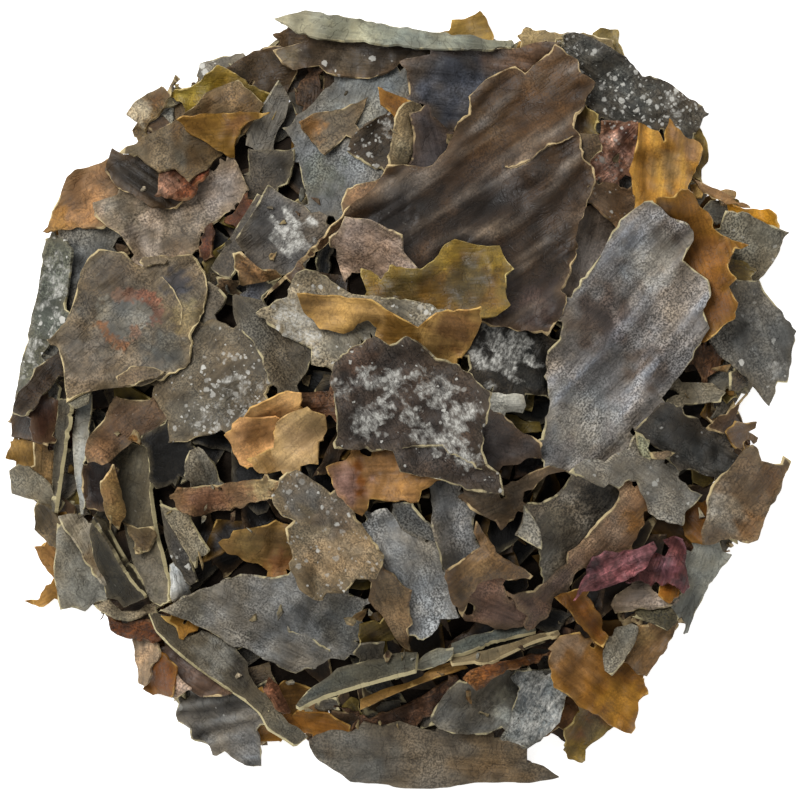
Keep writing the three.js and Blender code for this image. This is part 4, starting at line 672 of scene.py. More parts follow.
def settle(loop, make, dice):
    # height of the flake's middle surface where it comes to lie, its ridges and the heading of its grain
    window = windowOf(loop)
    x, y = np.meshgrid(axis[window[1]], axis[window[0]])
    under = grown[window]
    mask = covered(loop, window)
    middle = loop.mean(0)
    dx, dy = x - middle[0], y - middle[1]
    variance, frameOf = np.linalg.eigh(np.cov((loop - middle).T))
    heading = math.atan2(frameOf[1, 1], frameOf[0, 1])
    halfWide, halfLong = resting["halfSpan"] * np.sqrt(variance)
    along = dx * math.cos(heading) + dy * math.sin(heading)
    across = dy * math.cos(heading) - dx * math.sin(heading)
    size = math.sqrt(halfWide * halfLong) * 2
    reach = np.clip(resting["drape"] * size, *resting["drapeLimits"])
    if make["lean"]:
        z = make["lean"][0] * dx + make["lean"][1] * dy
    else:
        seen = mask if mask.any() else np.ones_like(mask)
        fit = np.linalg.lstsq(np.c_[dx[seen], dy[seen], np.ones(seen.sum())], under[seen], rcond=None)[0]
        easing = min(1, resting["steepest"] / max(np.hypot(fit[0], fit[1]), 1e-6))
        z = fit[0] * easing * dx + fit[1] * easing * dy + fit[2]
        weight = blurred(seen.astype(float), reach)
        z = z + blurred((under - z) * seen, reach) / np.maximum(weight, 0.02)
    soft = min(1, size / resting["stiffBelow"]) * (resting["leanBend"] if make["lean"] else 1)
    bend = dice.uniform(*resting["bends"], 2) * make["curl"] * soft
    z = z + bend[0] * (along / halfLong) ** 2 + bend[1] * (across / halfWide) ** 2 * resting["crossBend"]
    large, small = [swells(x, y, width, dice) for width in resting["crumples"]]
    z = z + make["crumple"] * soft * (large + resting["smallCrumple"] * small)
    z = z + make["dome"] * (1 - (across / halfWide) ** 2)
    edge = 1 - blurred(mask.astype(float), resting["flutterReach"])
    z = z + make["wave"] * soft * edge * swells(x, y, resting["flutter"], dice)
    crest = np.zeros_like(z)
    if make["ridges"]:
        turn, pitch, height = make["ridges"]
        run = dx * math.cos(math.radians(turn)) + dy * math.sin(math.radians(turn))
        side = dy * math.cos(math.radians(turn)) - dx * math.sin(math.radians(turn))
        crest = ridgesAlong(run, side, pitch, dice)
        z = z + height * crest
    if mask.any():
        z = z + np.quantile((under + make["thick"] / 2 - z)[mask], make["settle"])
    reached = spread(mask, 2)
    if not make["lean"]:
        for push in resting["pushes"]:
            short = np.where(reached, np.maximum(under + make["thick"] / 2 - z, 0), 0)
            eased = blurred(short, push)
            if eased.max() > 1e-6:
                z = z + eased * short.max() / eased.max()
        z = np.where(reached, np.maximum(z, under + make["thick"] / 2 + resting["clear"]), z)
    z = np.maximum(z + make["lift"], make["thick"] / 2 + resting["ground"])
    grown[window] = np.where(mask, np.maximum(under, z + make["thick"] / 2), under)
    return window, z, crest, heading if make["grain"] is None else math.radians(make["grain"])


# Tear in a blade, in mm: half its width, how far its lip reaches back and the straw-coloured line along it
rip = dict(steps=12, shake=0.05, half=0.06, clear=0.35, ease=2.5, reach=6, line=0.12)
# Mesh of a flake, in shares of its pitch: rows of even triangles, shaken a little and clear of the edge
meshing = dict(rows=0.866, shake=0.12, edgeClear=0.6)
# Colour of a flake, sizes in mm: its unevenness, and the threads in which painted sheen shows on the crests
# of its ridges, with painted shade in the hollows between them
colouring = dict(uneven=0.09, unevenSize=4, sheenThread=0.65, threadSwing=0.5, threadSize=1.6, threadOut=5,
                 paintedSheenGain=1.3, paintedSheenFrom=0.2, paintedHollowShade=0.4)


def flatMesh(loop, window, make, dice):
    # even triangles inside the outline, with the line of a tear among them and the way to its left
    pitch = make["inner"]
    low, high = loop.min(0), loop.max(0)
    gx, gy = np.meshgrid(np.arange(low[0], high[0], pitch),
                         np.arange(low[1], high[1], pitch * meshing["rows"]))
    gx = gx + (np.arange(gx.shape[0]) % 2 * pitch / 2)[:, None]
    inner = np.c_[gx.ravel(), gy.ravel()]
    inner = inner + dice.uniform(-meshing["shake"], meshing["shake"], inner.shape) * pitch
    inner = inner[sample(covered(loop, window).astype(float), window, inner) > 0.99]
    if len(inner):
        inner = inner[nearestTo(loop, inner) > meshing["edgeClear"] * pitch]
    line = aside = None
    if make["tear"]:
        knots = pointsOf(make["tear"][0])
        share = np.linspace(0, 1, rip["steps"], endpoint=False)[:, None]
        line = np.concatenate([a + (b - a) * share for a, b in zip(knots[:-1], knots[1:])])
        line = line + rip["shake"] * np.c_[softNoise(len(line), 4, dice), softNoise(len(line), 4, dice)]
        aside = np.gradient(line, axis=0)[:, ::-1] * [-1, 1]
        aside = aside / np.linalg.norm(aside, axis=1)[:, None]
        inner = inner[nearestTo(line, inner) > rip["clear"]]
        inner = np.concatenate([inner, line + rip["half"] * aside, line - rip["half"] * aside])
    flat = np.concatenate([loop, inner])
    edges = [(i, (i + 1) % len(loop)) for i in range(len(loop))]
    found = delaunay_2d_cdt([Vector(p) for p in flat], edges, [], 1, 1e-5)
    flat = np.array([tuple(p) for p in found[0]])
    faces = np.array([f for f in found[2] if len(f) == 3])
    a, b, c = flat[faces[:, 0]], flat[faces[:, 1]], flat[faces[:, 2]]
    area = (b[:, 0] - a[:, 0]) * (c[:, 1] - a[:, 1]) - (b[:, 1] - a[:, 1]) * (c[:, 0] - a[:, 0])
    faces = np.where((area > 0)[:, None], faces, faces[:, ::-1])[np.abs(area) > 1e-7]
    return flat, faces, line, aside


def borderOf(flat, faces):
    # the edges that only one triangle uses, and the way outwards at their points
    sides = np.concatenate([faces[:, [0, 1]], faces[:, [1, 2]], faces[:, [2, 0]]])
    keys = np.sort(sides, 1) @ np.array([len(flat), 1])
    once = np.unique(keys, return_index=True, return_counts=True)
    border = sides[once[1][once[2] == 1]]
    push = np.zeros_like(flat)
    run = flat[border[:, 1]] - flat[border[:, 0]]
    for end in (0, 1):
        np.add.at(push, border[:, end], np.c_[run[:, 1], -run[:, 0]])
    return border, push / np.maximum(np.linalg.norm(push, axis=1), 1e-9)[:, None]


def coloursOf(tint, flat, height, make, dice):
    # colour, salt drops and salt crust at each point; height is where it stands on the ridges, whose tops
    # get painted sheen and whose hollows get painted shade
    x, y = flat.T
    uneven = colouring["uneven"] * swells(x, y, colouring["unevenSize"], dice)
    colour = np.tile(linear(tint), (len(flat), 1)) * (1 + uneven)[:, None]
    for share, held in [*spots(make["patches"], x, y, dice),
                        *spots(make["marks"], x, y, dice, spot["crisp"])]:
        colour = colour * (1 - share[:, None]) + linear(held) * share[:, None]
    # painted sheen: ridge tops take the crest colour in broken threads, and the hollows are darkened as
    # painted shade
    if make["crest"]:
        turn = math.radians(make["ridges"][0])
        run, side = x * math.cos(turn) + y * math.sin(turn), y * math.cos(turn) - x * math.sin(turn)
        swing = swells(run / colouring["threadOut"], side, colouring["threadSize"], dice)
        sheenThread = np.clip(colouring["sheenThread"] + colouring["threadSwing"] * swing, 0, 1)[:, None]
        share = np.clip(height * colouring["paintedSheenGain"] - colouring["paintedSheenFrom"], 0, 1)
        colour = colour + (linear(make["crest"]) - colour) * share * sheenThread
        colour = colour * (1 + colouring["paintedHollowShade"] * np.clip(height, -1, 0))
    bloom = np.full(len(flat), make["bloom"])
    for share, held in spots(make["drops"], x, y, dice):
        bloom = np.maximum(bloom, share * float(held))
    frost = np.zeros(len(flat))
    for share, held in spots(make["frost"], x, y, dice):
        frost = np.maximum(frost, share * float(held))
    return colour, bloom, frost


def layFlake(kind, tint, loop, make, dice):
    # lifts a flake's mesh to where it settled, gives it two skins and a torn edge, and colours it
    window, z, crest, heading = settle(loop, make, dice)
    flat, faces, line, aside = flatMesh(loop, window, make, dice)
    border, push = borderOf(flat, faces)
    ring = np.unique(border)
    toEdge = np.concatenate([nearestTo(flat[ring], part)
                             for part in np.array_split(flat, max(1, len(flat) // 2000))])

    # middle surface, its normals, then the two skins and the torn edge between them
    slopeY, slopeX = np.gradient(z, cell)
    normal = np.c_[-sample(slopeX, window, flat), -sample(slopeY, window, flat), np.ones(len(flat))]
    normal /= np.linalg.norm(normal, axis=1)[:, None]
    middle = np.c_[flat, sample(z, window, flat)]
    if make["tear"]:
        # the side to the left of the tear stands up as a lip and eases down behind it and at its ends
        away = flat[:, None] - line[None]
        nearest = (away ** 2).sum(2).argmin(1)
        beside = (away[np.arange(len(flat)), nearest] * aside[nearest]).sum(1)
        ends = np.clip(np.sin(math.pi * (nearest + 0.5) / len(line)) * 2, 0, 1)
        ends = ends * (np.abs(beside) < rip["reach"])
        middle[:, 2] += make["tear"][1] * ends * np.exp(-np.clip(beside, 0, 9) / rip["ease"]) * (beside > 0)
        lip = (beside > 0) & (ends > 0.4)
        toEdge = np.where(lip, np.minimum(toEdge, beside - rip["line"]), toEdge)
    uneven = swells(flat[:, 0], flat[:, 1], tearing["biteSize"], dice)
    bite = make["rim"] * np.clip(1 + uneven, *tearing["biteLimits"])
    top = middle + normal * make["thick"] / 2
    top[ring, :2] -= push[ring] * bite[ring][:, None]
    bottom = middle - normal * make["thick"] / 2
    bottom[:, 2] = np.maximum(bottom[:, 2], lowest)
    count = len(flat)
    place = np.full(count, -1)
    place[ring] = np.arange(len(ring))
    upper = 2 * count + place[border]
    lower = upper + len(ring)
    wall = np.concatenate([np.c_[lower[:, 0], lower[:, 1], upper[:, 1]],
                           np.c_[lower[:, 0], upper[:, 1], upper[:, 0]]])
    points = np.concatenate([top, bottom, top[ring], bottom[ring]])
    triangles = np.concatenate([faces, faces[:, ::-1] + count, wall])

    # what the materials read: colour, salt, place along the grain and distance from the torn edge
    colour, bloom, frost = coloursOf(tint, flat, sample(crest, window, flat)[:, None], make, dice)
    offset = flat - loop.mean(0)
    along = offset @ [math.cos(heading), math.sin(heading)]
    across = offset @ [-math.sin(heading), math.cos(heading)]
    leaf = np.c_[along, across, np.full(count, dice.uniform(0, 400))]
    order = np.r_[np.arange(count), np.arange(count), ring, ring]
    rim = np.concatenate([toEdge, toEdge, np.full(2 * len(ring), -make["cut"])]) + make["edgeShade"]
    made[kind].append((points, triangles, dict(tint=np.c_[colour, np.ones(count)][order], leaf=leaf[order],
                                               bloom=bloom[order], frost=frost[order], rim=rim,
                                               tooth=np.full(len(points), make["tooth"]))))


scrap = dict(turn=0.35, reach=(0.7, 1.1))     # how far its corners stray round the scrap and outwards


def roughShape(dice, sides, long, wide, x, y):
    # ragged many-sided scrap, turned at random and put in its place
    even = np.linspace(0, math.tau, sides, endpoint=False)
    spin = np.sort(dice.uniform(0, math.tau, sides) * scrap["turn"] + even)
    reach = dice.uniform(*scrap["reach"], (sides, 1))
    shape = np.c_[np.cos(spin), np.sin(spin)] * reach * [long / 2, wide / 2]
    heading = dice.uniform(0, math.tau)
    turnTo = np.array([[math.cos(heading), math.sin(heading)], [-math.sin(heading), math.cos(heading)]])
    return shape @ turnTo + [x, y]


# Outlines of the flakes that show; each runs on a little way under the later ones, one laid on edge less so
tuck = dict(reach=1.7, leanReach=0.3, ease=11, leanRagged=0.15)
rows = []
for index, row in enumerate(lowRim + lowMiddle + topLayer):
    kind, tint, text, *more = row
    make = {**flakePlain, **flakeShape[kind], **(more[0] if more else {})}
    dice = np.random.default_rng(firstSeed + index)
    ragged = make["ragged"] * (tuck["leanRagged"] if make["lean"] else 1)
    rows.append([kind, tint, tornOutline(pointsOf(text), make["step"], ragged, dice), make, dice])
everywhere = (slice(0, len(axis)), slice(0, len(axis)))
cover = np.zeros_like(grown)
for row in reversed(rows):
    loop, normal = row[2], outwards(row[2])
    hidden = np.ones(len(loop))
    for share in (0.5, 1):
        hidden = hidden * (sample(cover, everywhere, loop + normal * tuck["reach"] * share) > 0.9)
    kernel = np.hanning(tuck["ease"]) / np.hanning(tuck["ease"]).sum()
    eased = np.convolve(np.r_[hidden, hidden, hidden], kernel, mode="same")[len(loop):2 * len(loop)]
    window = windowOf(loop)
    cover[window] = np.maximum(cover[window], covered(loop, window))
    under = tuck["leanReach"] if row[3]["lean"] else tuck["reach"]
    row[2] = loop + normal * (under * np.minimum(hidden, eased))[:, None]
print("outlines ready:", len(rows), "flakes that show")

# Core: mound of crumbled kelp under the flakes, smaller than the heap, coloured near black as painted
# shade of the heap's deep gaps
core = dict(radius=40, height=15.5, roundness=2, flare=1.2, rings=60, sectors=180, lump=1.1, lumpSize=4,
            leastThick=0.05, seed=firstSeed - 1)


def coreTop(x, y):
    share = np.clip(np.hypot(x, y) / core["radius"], 0, 1)
    dome = np.clip(1 - share ** core["roundness"], 0, 1) ** core["flare"]
    lumps = swells(x, y, core["lumpSize"], np.random.default_rng(core["seed"]))
    return core["height"] * dome + core["lump"] * lumps * np.sqrt(dome)


gridX, gridY = np.meshgrid(axis, axis)
grown = np.maximum(grown, coreTop(gridX, gridY))
angle = np.linspace(0, math.tau, core["sectors"], endpoint=False)
radius = core["radius"] * np.linspace(0, 1, core["rings"] + 1)[1:]
coreX = np.r_[0, np.outer(radius, np.cos(angle)).ravel(), 0]
coreY = np.r_[0, np.outer(radius, np.sin(angle)).ravel(), 0]
lastRing = 1 + (core["rings"] - 1) * core["sectors"]
coreZ = np.maximum(coreTop(coreX, coreY), core["leastThick"])
coreZ[lastRing:] = lowest
spokes = np.arange(core["sectors"])
nextSpoke = (spokes + 1) % core["sectors"]
coreFaces = [np.c_[np.zeros_like(spokes), 1 + spokes, 1 + nextSpoke]]
for ring in range(core["rings"] - 1):
    inside, outside = 1 + ring * core["sectors"], 1 + (ring + 1) * core["sectors"]
    coreFaces += [np.c_[inside + spokes, outside + spokes, outside + nextSpoke],
                  np.c_[inside + spokes, outside + nextSpoke, inside + nextSpoke]]
coreFaces.append(np.c_[np.full_like(spokes, len(coreX) - 1), lastRing + nextSpoke, lastRing + spokes])
coreFaces = np.concatenate(coreFaces)
print("core ready:", len(coreFaces), "triangles")

# Fillers: plain flakes under the ones that show, darker towards the inside of the heap as painted shade of
# its deep gaps. Back and plugBack are how many cells they stand back from the heap's outline, gap how many
# that outline bridges each way.
filler = dict(count=300, radius=45, goldenAngle=2.39996, turnShake=0.3, shake=1, lengths=(6, 15),
              widths=(3.5, 8), corners=(5, 9), step=0.6, inner=0.95, settle=0.9, ragged=0.15,
              paintedInsideShade=0.045, rimShade=0.8, shadeFrom=30, shadeTo=44, shadeSwing=(0.8, 1.15),
              shadeCurve=0.6, edgeShade=0.06, insideEdge=0.1, gap=6, back=10, plugBack=8, plugs=240,
              plugSize=(3, 7), plugWidth=(0.5, 0.9), plugShrink=0.8, bareBelow=0.3, seed=firstSeed + 5000)
fillerTints = [("slate", "5f5c54", 0.38), ("brown", "4c4034", 0.28), ("amber", "785628", 0.12),
               ("olive", "64552f", 0.08), ("tan", "746450", 0.08), ("rust", "583c2e", 0.06)]
shown = cover > 0.5
beyond = outsideOf(spread(shown, filler["gap"]))
heapArea, plugArea = ~spread(beyond, filler["back"]), ~spread(beyond, filler["plugBack"])
dice = np.random.default_rng(filler["seed"])
tried = np.zeros_like(shown)
laid = 0
for turn in range(filler["count"] + filler["plugs"]):
    if turn < filler["count"]:
        far = filler["radius"] * math.sqrt(1 - (turn + 0.5) / filler["count"])
        around = turn * filler["goldenAngle"] + dice.uniform(-filler["turnShake"], filler["turnShake"])
        x = far * math.cos(around) + dice.normal(0, filler["shake"])
        y = far * math.sin(around) + dice.normal(0, filler["shake"])
        corners = roughShape(dice, dice.integers(*filler["corners"]), dice.uniform(*filler["lengths"]),
                             dice.uniform(*filler["widths"]), x, y)
        area = heapArea
    else:
        # plugs close what would leave the ground bare inside the outline, from the middle outwards
        bare = np.argwhere(heapArea & ~shown & (grown < filler["bareBelow"]) & ~tried)
        if not len(bare):
            break
        j, i = bare[np.hypot(axis[bare[:, 0]], axis[bare[:, 1]]).argmin()]
        tried[j, i] = True
        x, y = axis[i], axis[j]
        far = math.hypot(x, y)
        size = dice.uniform(*filler["plugSize"])
        corners = roughShape(dice, dice.integers(*filler["corners"]), size,
                             size * dice.uniform(*filler["plugWidth"]), x, y)
        while size > 1 and (sample(plugArea.astype(float), everywhere, corners) < 0.9).any():
            size *= filler["plugShrink"]
            corners = [x, y] + (corners - [x, y]) * filler["plugShrink"]
        area = plugArea
    pick = dice.choice(len(fillerTints), p=[t[2] for t in fillerTints])
    if (sample(area.astype(float), everywhere, corners) < 0.9).any():
        continue
    kind, tint = fillerTints[pick][:2]
    # painted shade: the tint darkens towards the inside of the heap, where the fillers show only in deep
    # gaps
    fade = np.clip((far - filler["shadeFrom"]) / (filler["shadeTo"] - filler["shadeFrom"]), 0, 1)
    shade = filler["paintedInsideShade"] + (filler["rimShade"] - filler["paintedInsideShade"]) * fade
    shade = (shade * dice.uniform(*filler["shadeSwing"])) ** filler["shadeCurve"]
    dark = "".join(f"{int(int(tint[i:i + 2], 16) * shade):02x}" for i in (0, 2, 4))
    make = {**flakePlain, **flakeShape[kind], "step": filler["step"], "inner": filler["inner"],
            "settle": filler["settle"], "edgeShade": filler["edgeShade"] + filler["insideEdge"] * (1 - fade)}
    layFlake(kind, dark, tornOutline(corners, filler["step"], filler["ragged"], dice), make, dice)
    laid += 1
print("fillers laid:", laid)

# The flakes that show, with crumbs strewn before the top layer
crumb = dict(count=130, radius=42, sizes=(0.8, 3), widths=(0.3, 0.7), corners=(4, 7), step=0.25,
             ragged=0.05, seed=firstSeed + 9000)
crumbShape = dict(thick=0.25, curl=0.1, crumple=0.05, wave=0, rim=0.03, step=crumb["step"], edgeShade=0.12)
crumbTints = ["55524a", "6a5c44", "7c6a48", "4a382a", "8c877a", "60482a"]
made["crumb"] = []
for index, (kind, tint, loop, make, dice) in enumerate(rows):
    if index == len(lowRim) + len(lowMiddle):
        strew = np.random.default_rng(crumb["seed"])
        for turn in range(crumb["count"]):
            far, around = crumb["radius"] * math.sqrt(strew.uniform()), strew.uniform(0, math.tau)
            size = crumb["sizes"][0] + (crumb["sizes"][1] - crumb["sizes"][0]) * strew.uniform() ** 2
            corners = roughShape(strew, strew.integers(*crumb["corners"]), size,
                                 size * strew.uniform(*crumb["widths"]),
                                 far * math.cos(around), far * math.sin(around))
            layFlake("crumb", crumbTints[strew.integers(len(crumbTints))],
                     tornOutline(corners, crumb["step"], crumb["ragged"], strew),
                     {**flakePlain, **crumbShape}, strew)
    layFlake(kind, tint, loop, make, dice)
print("flakes laid, heap is", round(float(grown.max()), 1), "mm high")


def node(tree, kind, links=None, out=0, **settings):
    # adds a node with its settings and links; gives the socket asked for, or with None the node itself
    added = tree.nodes.new("ShaderNode" + kind)
    for name, value in settings.items():
        setattr(added, name, value)
    for socket, source in (links or {}).items():
        if isinstance(source, bpy.types.NodeSocket):
            tree.links.new(source, added.inputs[socket])
        else:
            added.inputs[socket].default_value = source
    return added if out is None else added.outputs[out]


# Finishes: sizes in mm, depths as shares of the colour; drift is what mid grey turns to at both ends of its
# wander through the blade, border is its colour, share and reach inwards, salt the height of its dried salt.
# The pits of the grain are too fine to show at this distance, so they are drawn coarser than they are.
# crease is how dark the painted shade along the creases is
finishPlain = dict(salt=None, fibre=0.4, fibreDepth=0.14, grain=0.24, crease=0.3, strawShare=0.85, rough=0.6,
                   ior=1.45, gloss=0.3)
finishes = {
    # weathered kelp blade: matt grey skin, peppered with fine pits along its grain
    "slate": dict(name="weathered_kelp_blade", salt=0, drift=("787a7d", "817a70"), cloud=6, cloudDepth=0.24,
                  mottle=3, mottleDepth=0.22, fibreDepth=0.12, grainDepth=0.36, straw="c6b98e",
                  border=("7c7058", 0.3, 0.8), rough=0.66, bump=0.2),
    # brown kelp blade: smooth leather with a low gloss that shows its ribs
    "brown": dict(name="brown_kelp_leather", salt=0, drift=("76787c", "82796e"), cloud=5, cloudDepth=0.24,
                  mottle=2.5, mottleDepth=0.22, fibre=0.45, fibreDepth=0.16, grainDepth=0.19, crease=0.25,
                  straw="cbb283", strawShare=0.9, border=("6a5238", 0.4, 1.1), rough=0.5, ior=1.48,
                  gloss=0.28, bump=0.12),
    # young blade dried clear: amber like horn, lighter where it thins towards the edge
    "amber": dict(name="amber_kelp_horn", drift=("6e6a68", "86827a"), cloud=3.5, cloudDepth=0.13, mottle=2,
                  mottleDepth=0.13, fibre=0.5, fibreDepth=0.16, grainDepth=0.1, crease=0.22, straw="cfa860",
                  border=("96702f", 0.3, 1.0), rough=0.5, ior=1.5, gloss=0.18, bump=0.1),
    # green weed dried to olive: thin, a dark middle and a yellow border
    "olive": dict(name="olive_kelp_horn", drift=("70726c", "837e74"), cloud=3, cloudDepth=0.26, mottle=1.8,
                  mottleDepth=0.24, grainDepth=0.14, crease=0.22, straw="c8b272",
                  border=("857030", 0.6, 1.6), rough=0.48, ior=1.48, gloss=0.35, bump=0.12),
    # bleached blade: dull tan to mauve with a sandy tooth
    "tan": dict(name="bleached_kelp_blade", salt=0, drift=("767879", "817a6f"), cloud=4, cloudDepth=0.24,
                mottle=2.5, mottleDepth=0.24, grainDepth=0.27, straw="ccb88a", strawShare=0.9,
                border=("7e6c4c", 0.35, 1), rough=0.62, bump=0.18),
    # oxidised inner tissue: crumbly rust red with pale skin scraps
    "rust": dict(name="oxidised_kelp_tissue", salt=0.4, drift=("757676", "837970"), cloud=2.2,
                 cloudDepth=0.34, mottle=1, mottleDepth=0.4, fibre=0.35, fibreDepth=0.16, grain=0.26,
                 grainDepth=0.28, straw="9a7a58", strawShare=0.5, border=("6a4c30", 0.3, 0.8), bump=0.3),
    # blade with salt crust: dark leather under a white bloom
    "frosted": dict(name="salt_crusted_kelp", salt=0.4, drift=("767a7d", "827a70"), cloud=3.5,
                    cloudDepth=0.25, mottle=2, mottleDepth=0.26, grainDepth=0.31, straw="bcae86",
                    border=("5a4c3a", 0.4, 1.2), ior=1.46, bump=0.24),
    # red weed frond: papery crimson with paler folds
    "crimson": dict(name="red_weed_frond", drift=("767474", "827a78"), cloud=2, cloudDepth=0.32, mottle=0.9,
                    mottleDepth=0.34, fibre=0.3, fibreDepth=0.24, grain=0.3, grainDepth=0.14, crease=0.35,
                    straw="8a6068", strawShare=0.4, border=("5a3032", 0.4, 0.8), rough=0.55, gloss=0.35,
                    bump=0.26),
    # crumbs: broken bits of all kinds, dull and dusty
    "crumb": dict(name="kelp_crumbs", drift=("767a7d", "827a70"), cloud=2, cloudDepth=0.2, mottle=1,
                  mottleDepth=0.24, fibre=0.3, fibreDepth=0.2, grain=0.3, grainDepth=0.3, crease=0.2,
                  straw="b0a078", strawShare=0.5, border=("7a6c50", 0.2, 0.4), rough=0.7, gloss=0.2,
                  bump=0.15),
}
# What all blades share, sizes in mm
bladeLook = dict(
    midGrey="7a7a7a",        # what the drift colours are measured against
    drawnOut=0.09,           # fibres are longer than they are wide by one over this
    slowSize=3.1,            # noise behind the creases and the torn stretches of the edge
    creaseWidth=0.022,       # in values of that noise
    driftStart=(31.7, 12.3, 5.1),    # moves the drift away from the other patterns
    driftScale=0.7,          # the drift is larger than the clouds by one over this
)
# Dried sea salt, sizes in mm: dull white crystals too small to see one by one
saltLook = dict(
    colour="c2c0b8",
    veil=1.6,                # soft veil of the crust
    fleck=0.4,               # crisp flecks in that veil
    drops=(1.0, 0.5),        # spacing of large and small dried drops, each up to half of that in radius
    ripple=0.5,              # waves in the outline of a drop
)


def driedSalt(tree, leaf):
    # a soft veil with crisp flecks in it along the grain, and uneven specks where single drops dried
    bloom = node(tree, "Attribute", out="Fac", attribute_name="bloom")
    frost = node(tree, "Attribute", out="Fac", attribute_name="frost")
    veil = node(tree, "TexNoise", {"Vector": leaf, "Scale": 1 / saltLook["veil"], "Detail": 5,
                                   "Roughness": 0.65, "Distortion": 0.8})
    salty = node(tree, "Math", {0: frost, 1: 0.42, 2: veil}, operation="MULTIPLY_ADD")
    veiled = node(tree, "MapRange", {"Value": salty, "From Min": 0.67, "From Max": 0.92})
    drawn = node(tree, "Mapping", {"Vector": leaf, "Scale": (0.65, 1, 1)})
    flecks = node(tree, "TexNoise", {"Vector": drawn, "Scale": 1 / saltLook["fleck"], "Detail": 3,
                                     "Roughness": 0.65})
    flecked = node(tree, "MapRange", {"Value": flecks, "From Min": 0.42, "From Max": 0.61, "To Min": 0.25,
                                      "To Max": 1.0})
    salted = node(tree, "Math", {0: veiled, 1: flecked}, operation="MULTIPLY")
    ripple = node(tree, "TexNoise", {"Vector": leaf, "Scale": 1 / saltLook["ripple"], "Detail": 2},
                  out="Color")
    shaken = node(tree, "VectorMath", {0: ripple, 1: (0.5, 0.5, 0), 2: leaf}, operation="MULTIPLY_ADD")
    for spacing in saltLook["drops"]:
        drops = node(tree, "TexVoronoi", {"Vector": shaken, "Scale": 1 / spacing}, out=None).outputs
        luck = node(tree, "SeparateColor", {"Color": drops["Color"]}, out=None).outputs
        present = node(tree, "Math", {0: luck[0], 1: bloom}, operation="LESS_THAN")
        radius = node(tree, "MapRange", {"Value": luck[1], "To Min": 0.1, "To Max": 0.5})
        depth = node(tree, "Math", {0: radius, 1: drops["Distance"]}, operation="SUBTRACT")
        thick = node(tree, "MapRange", {"Value": luck[2], "To Min": 0.25, "To Max": 0.85})
        disc = node(tree, "MapRange", {"Value": depth, "From Max": 0.12, "To Max": thick})
        dried = node(tree, "Math", {0: disc, 1: present}, operation="MULTIPLY")
        salted = node(tree, "Math", {0: salted, 1: dried}, operation="MAXIMUM")
    return salted


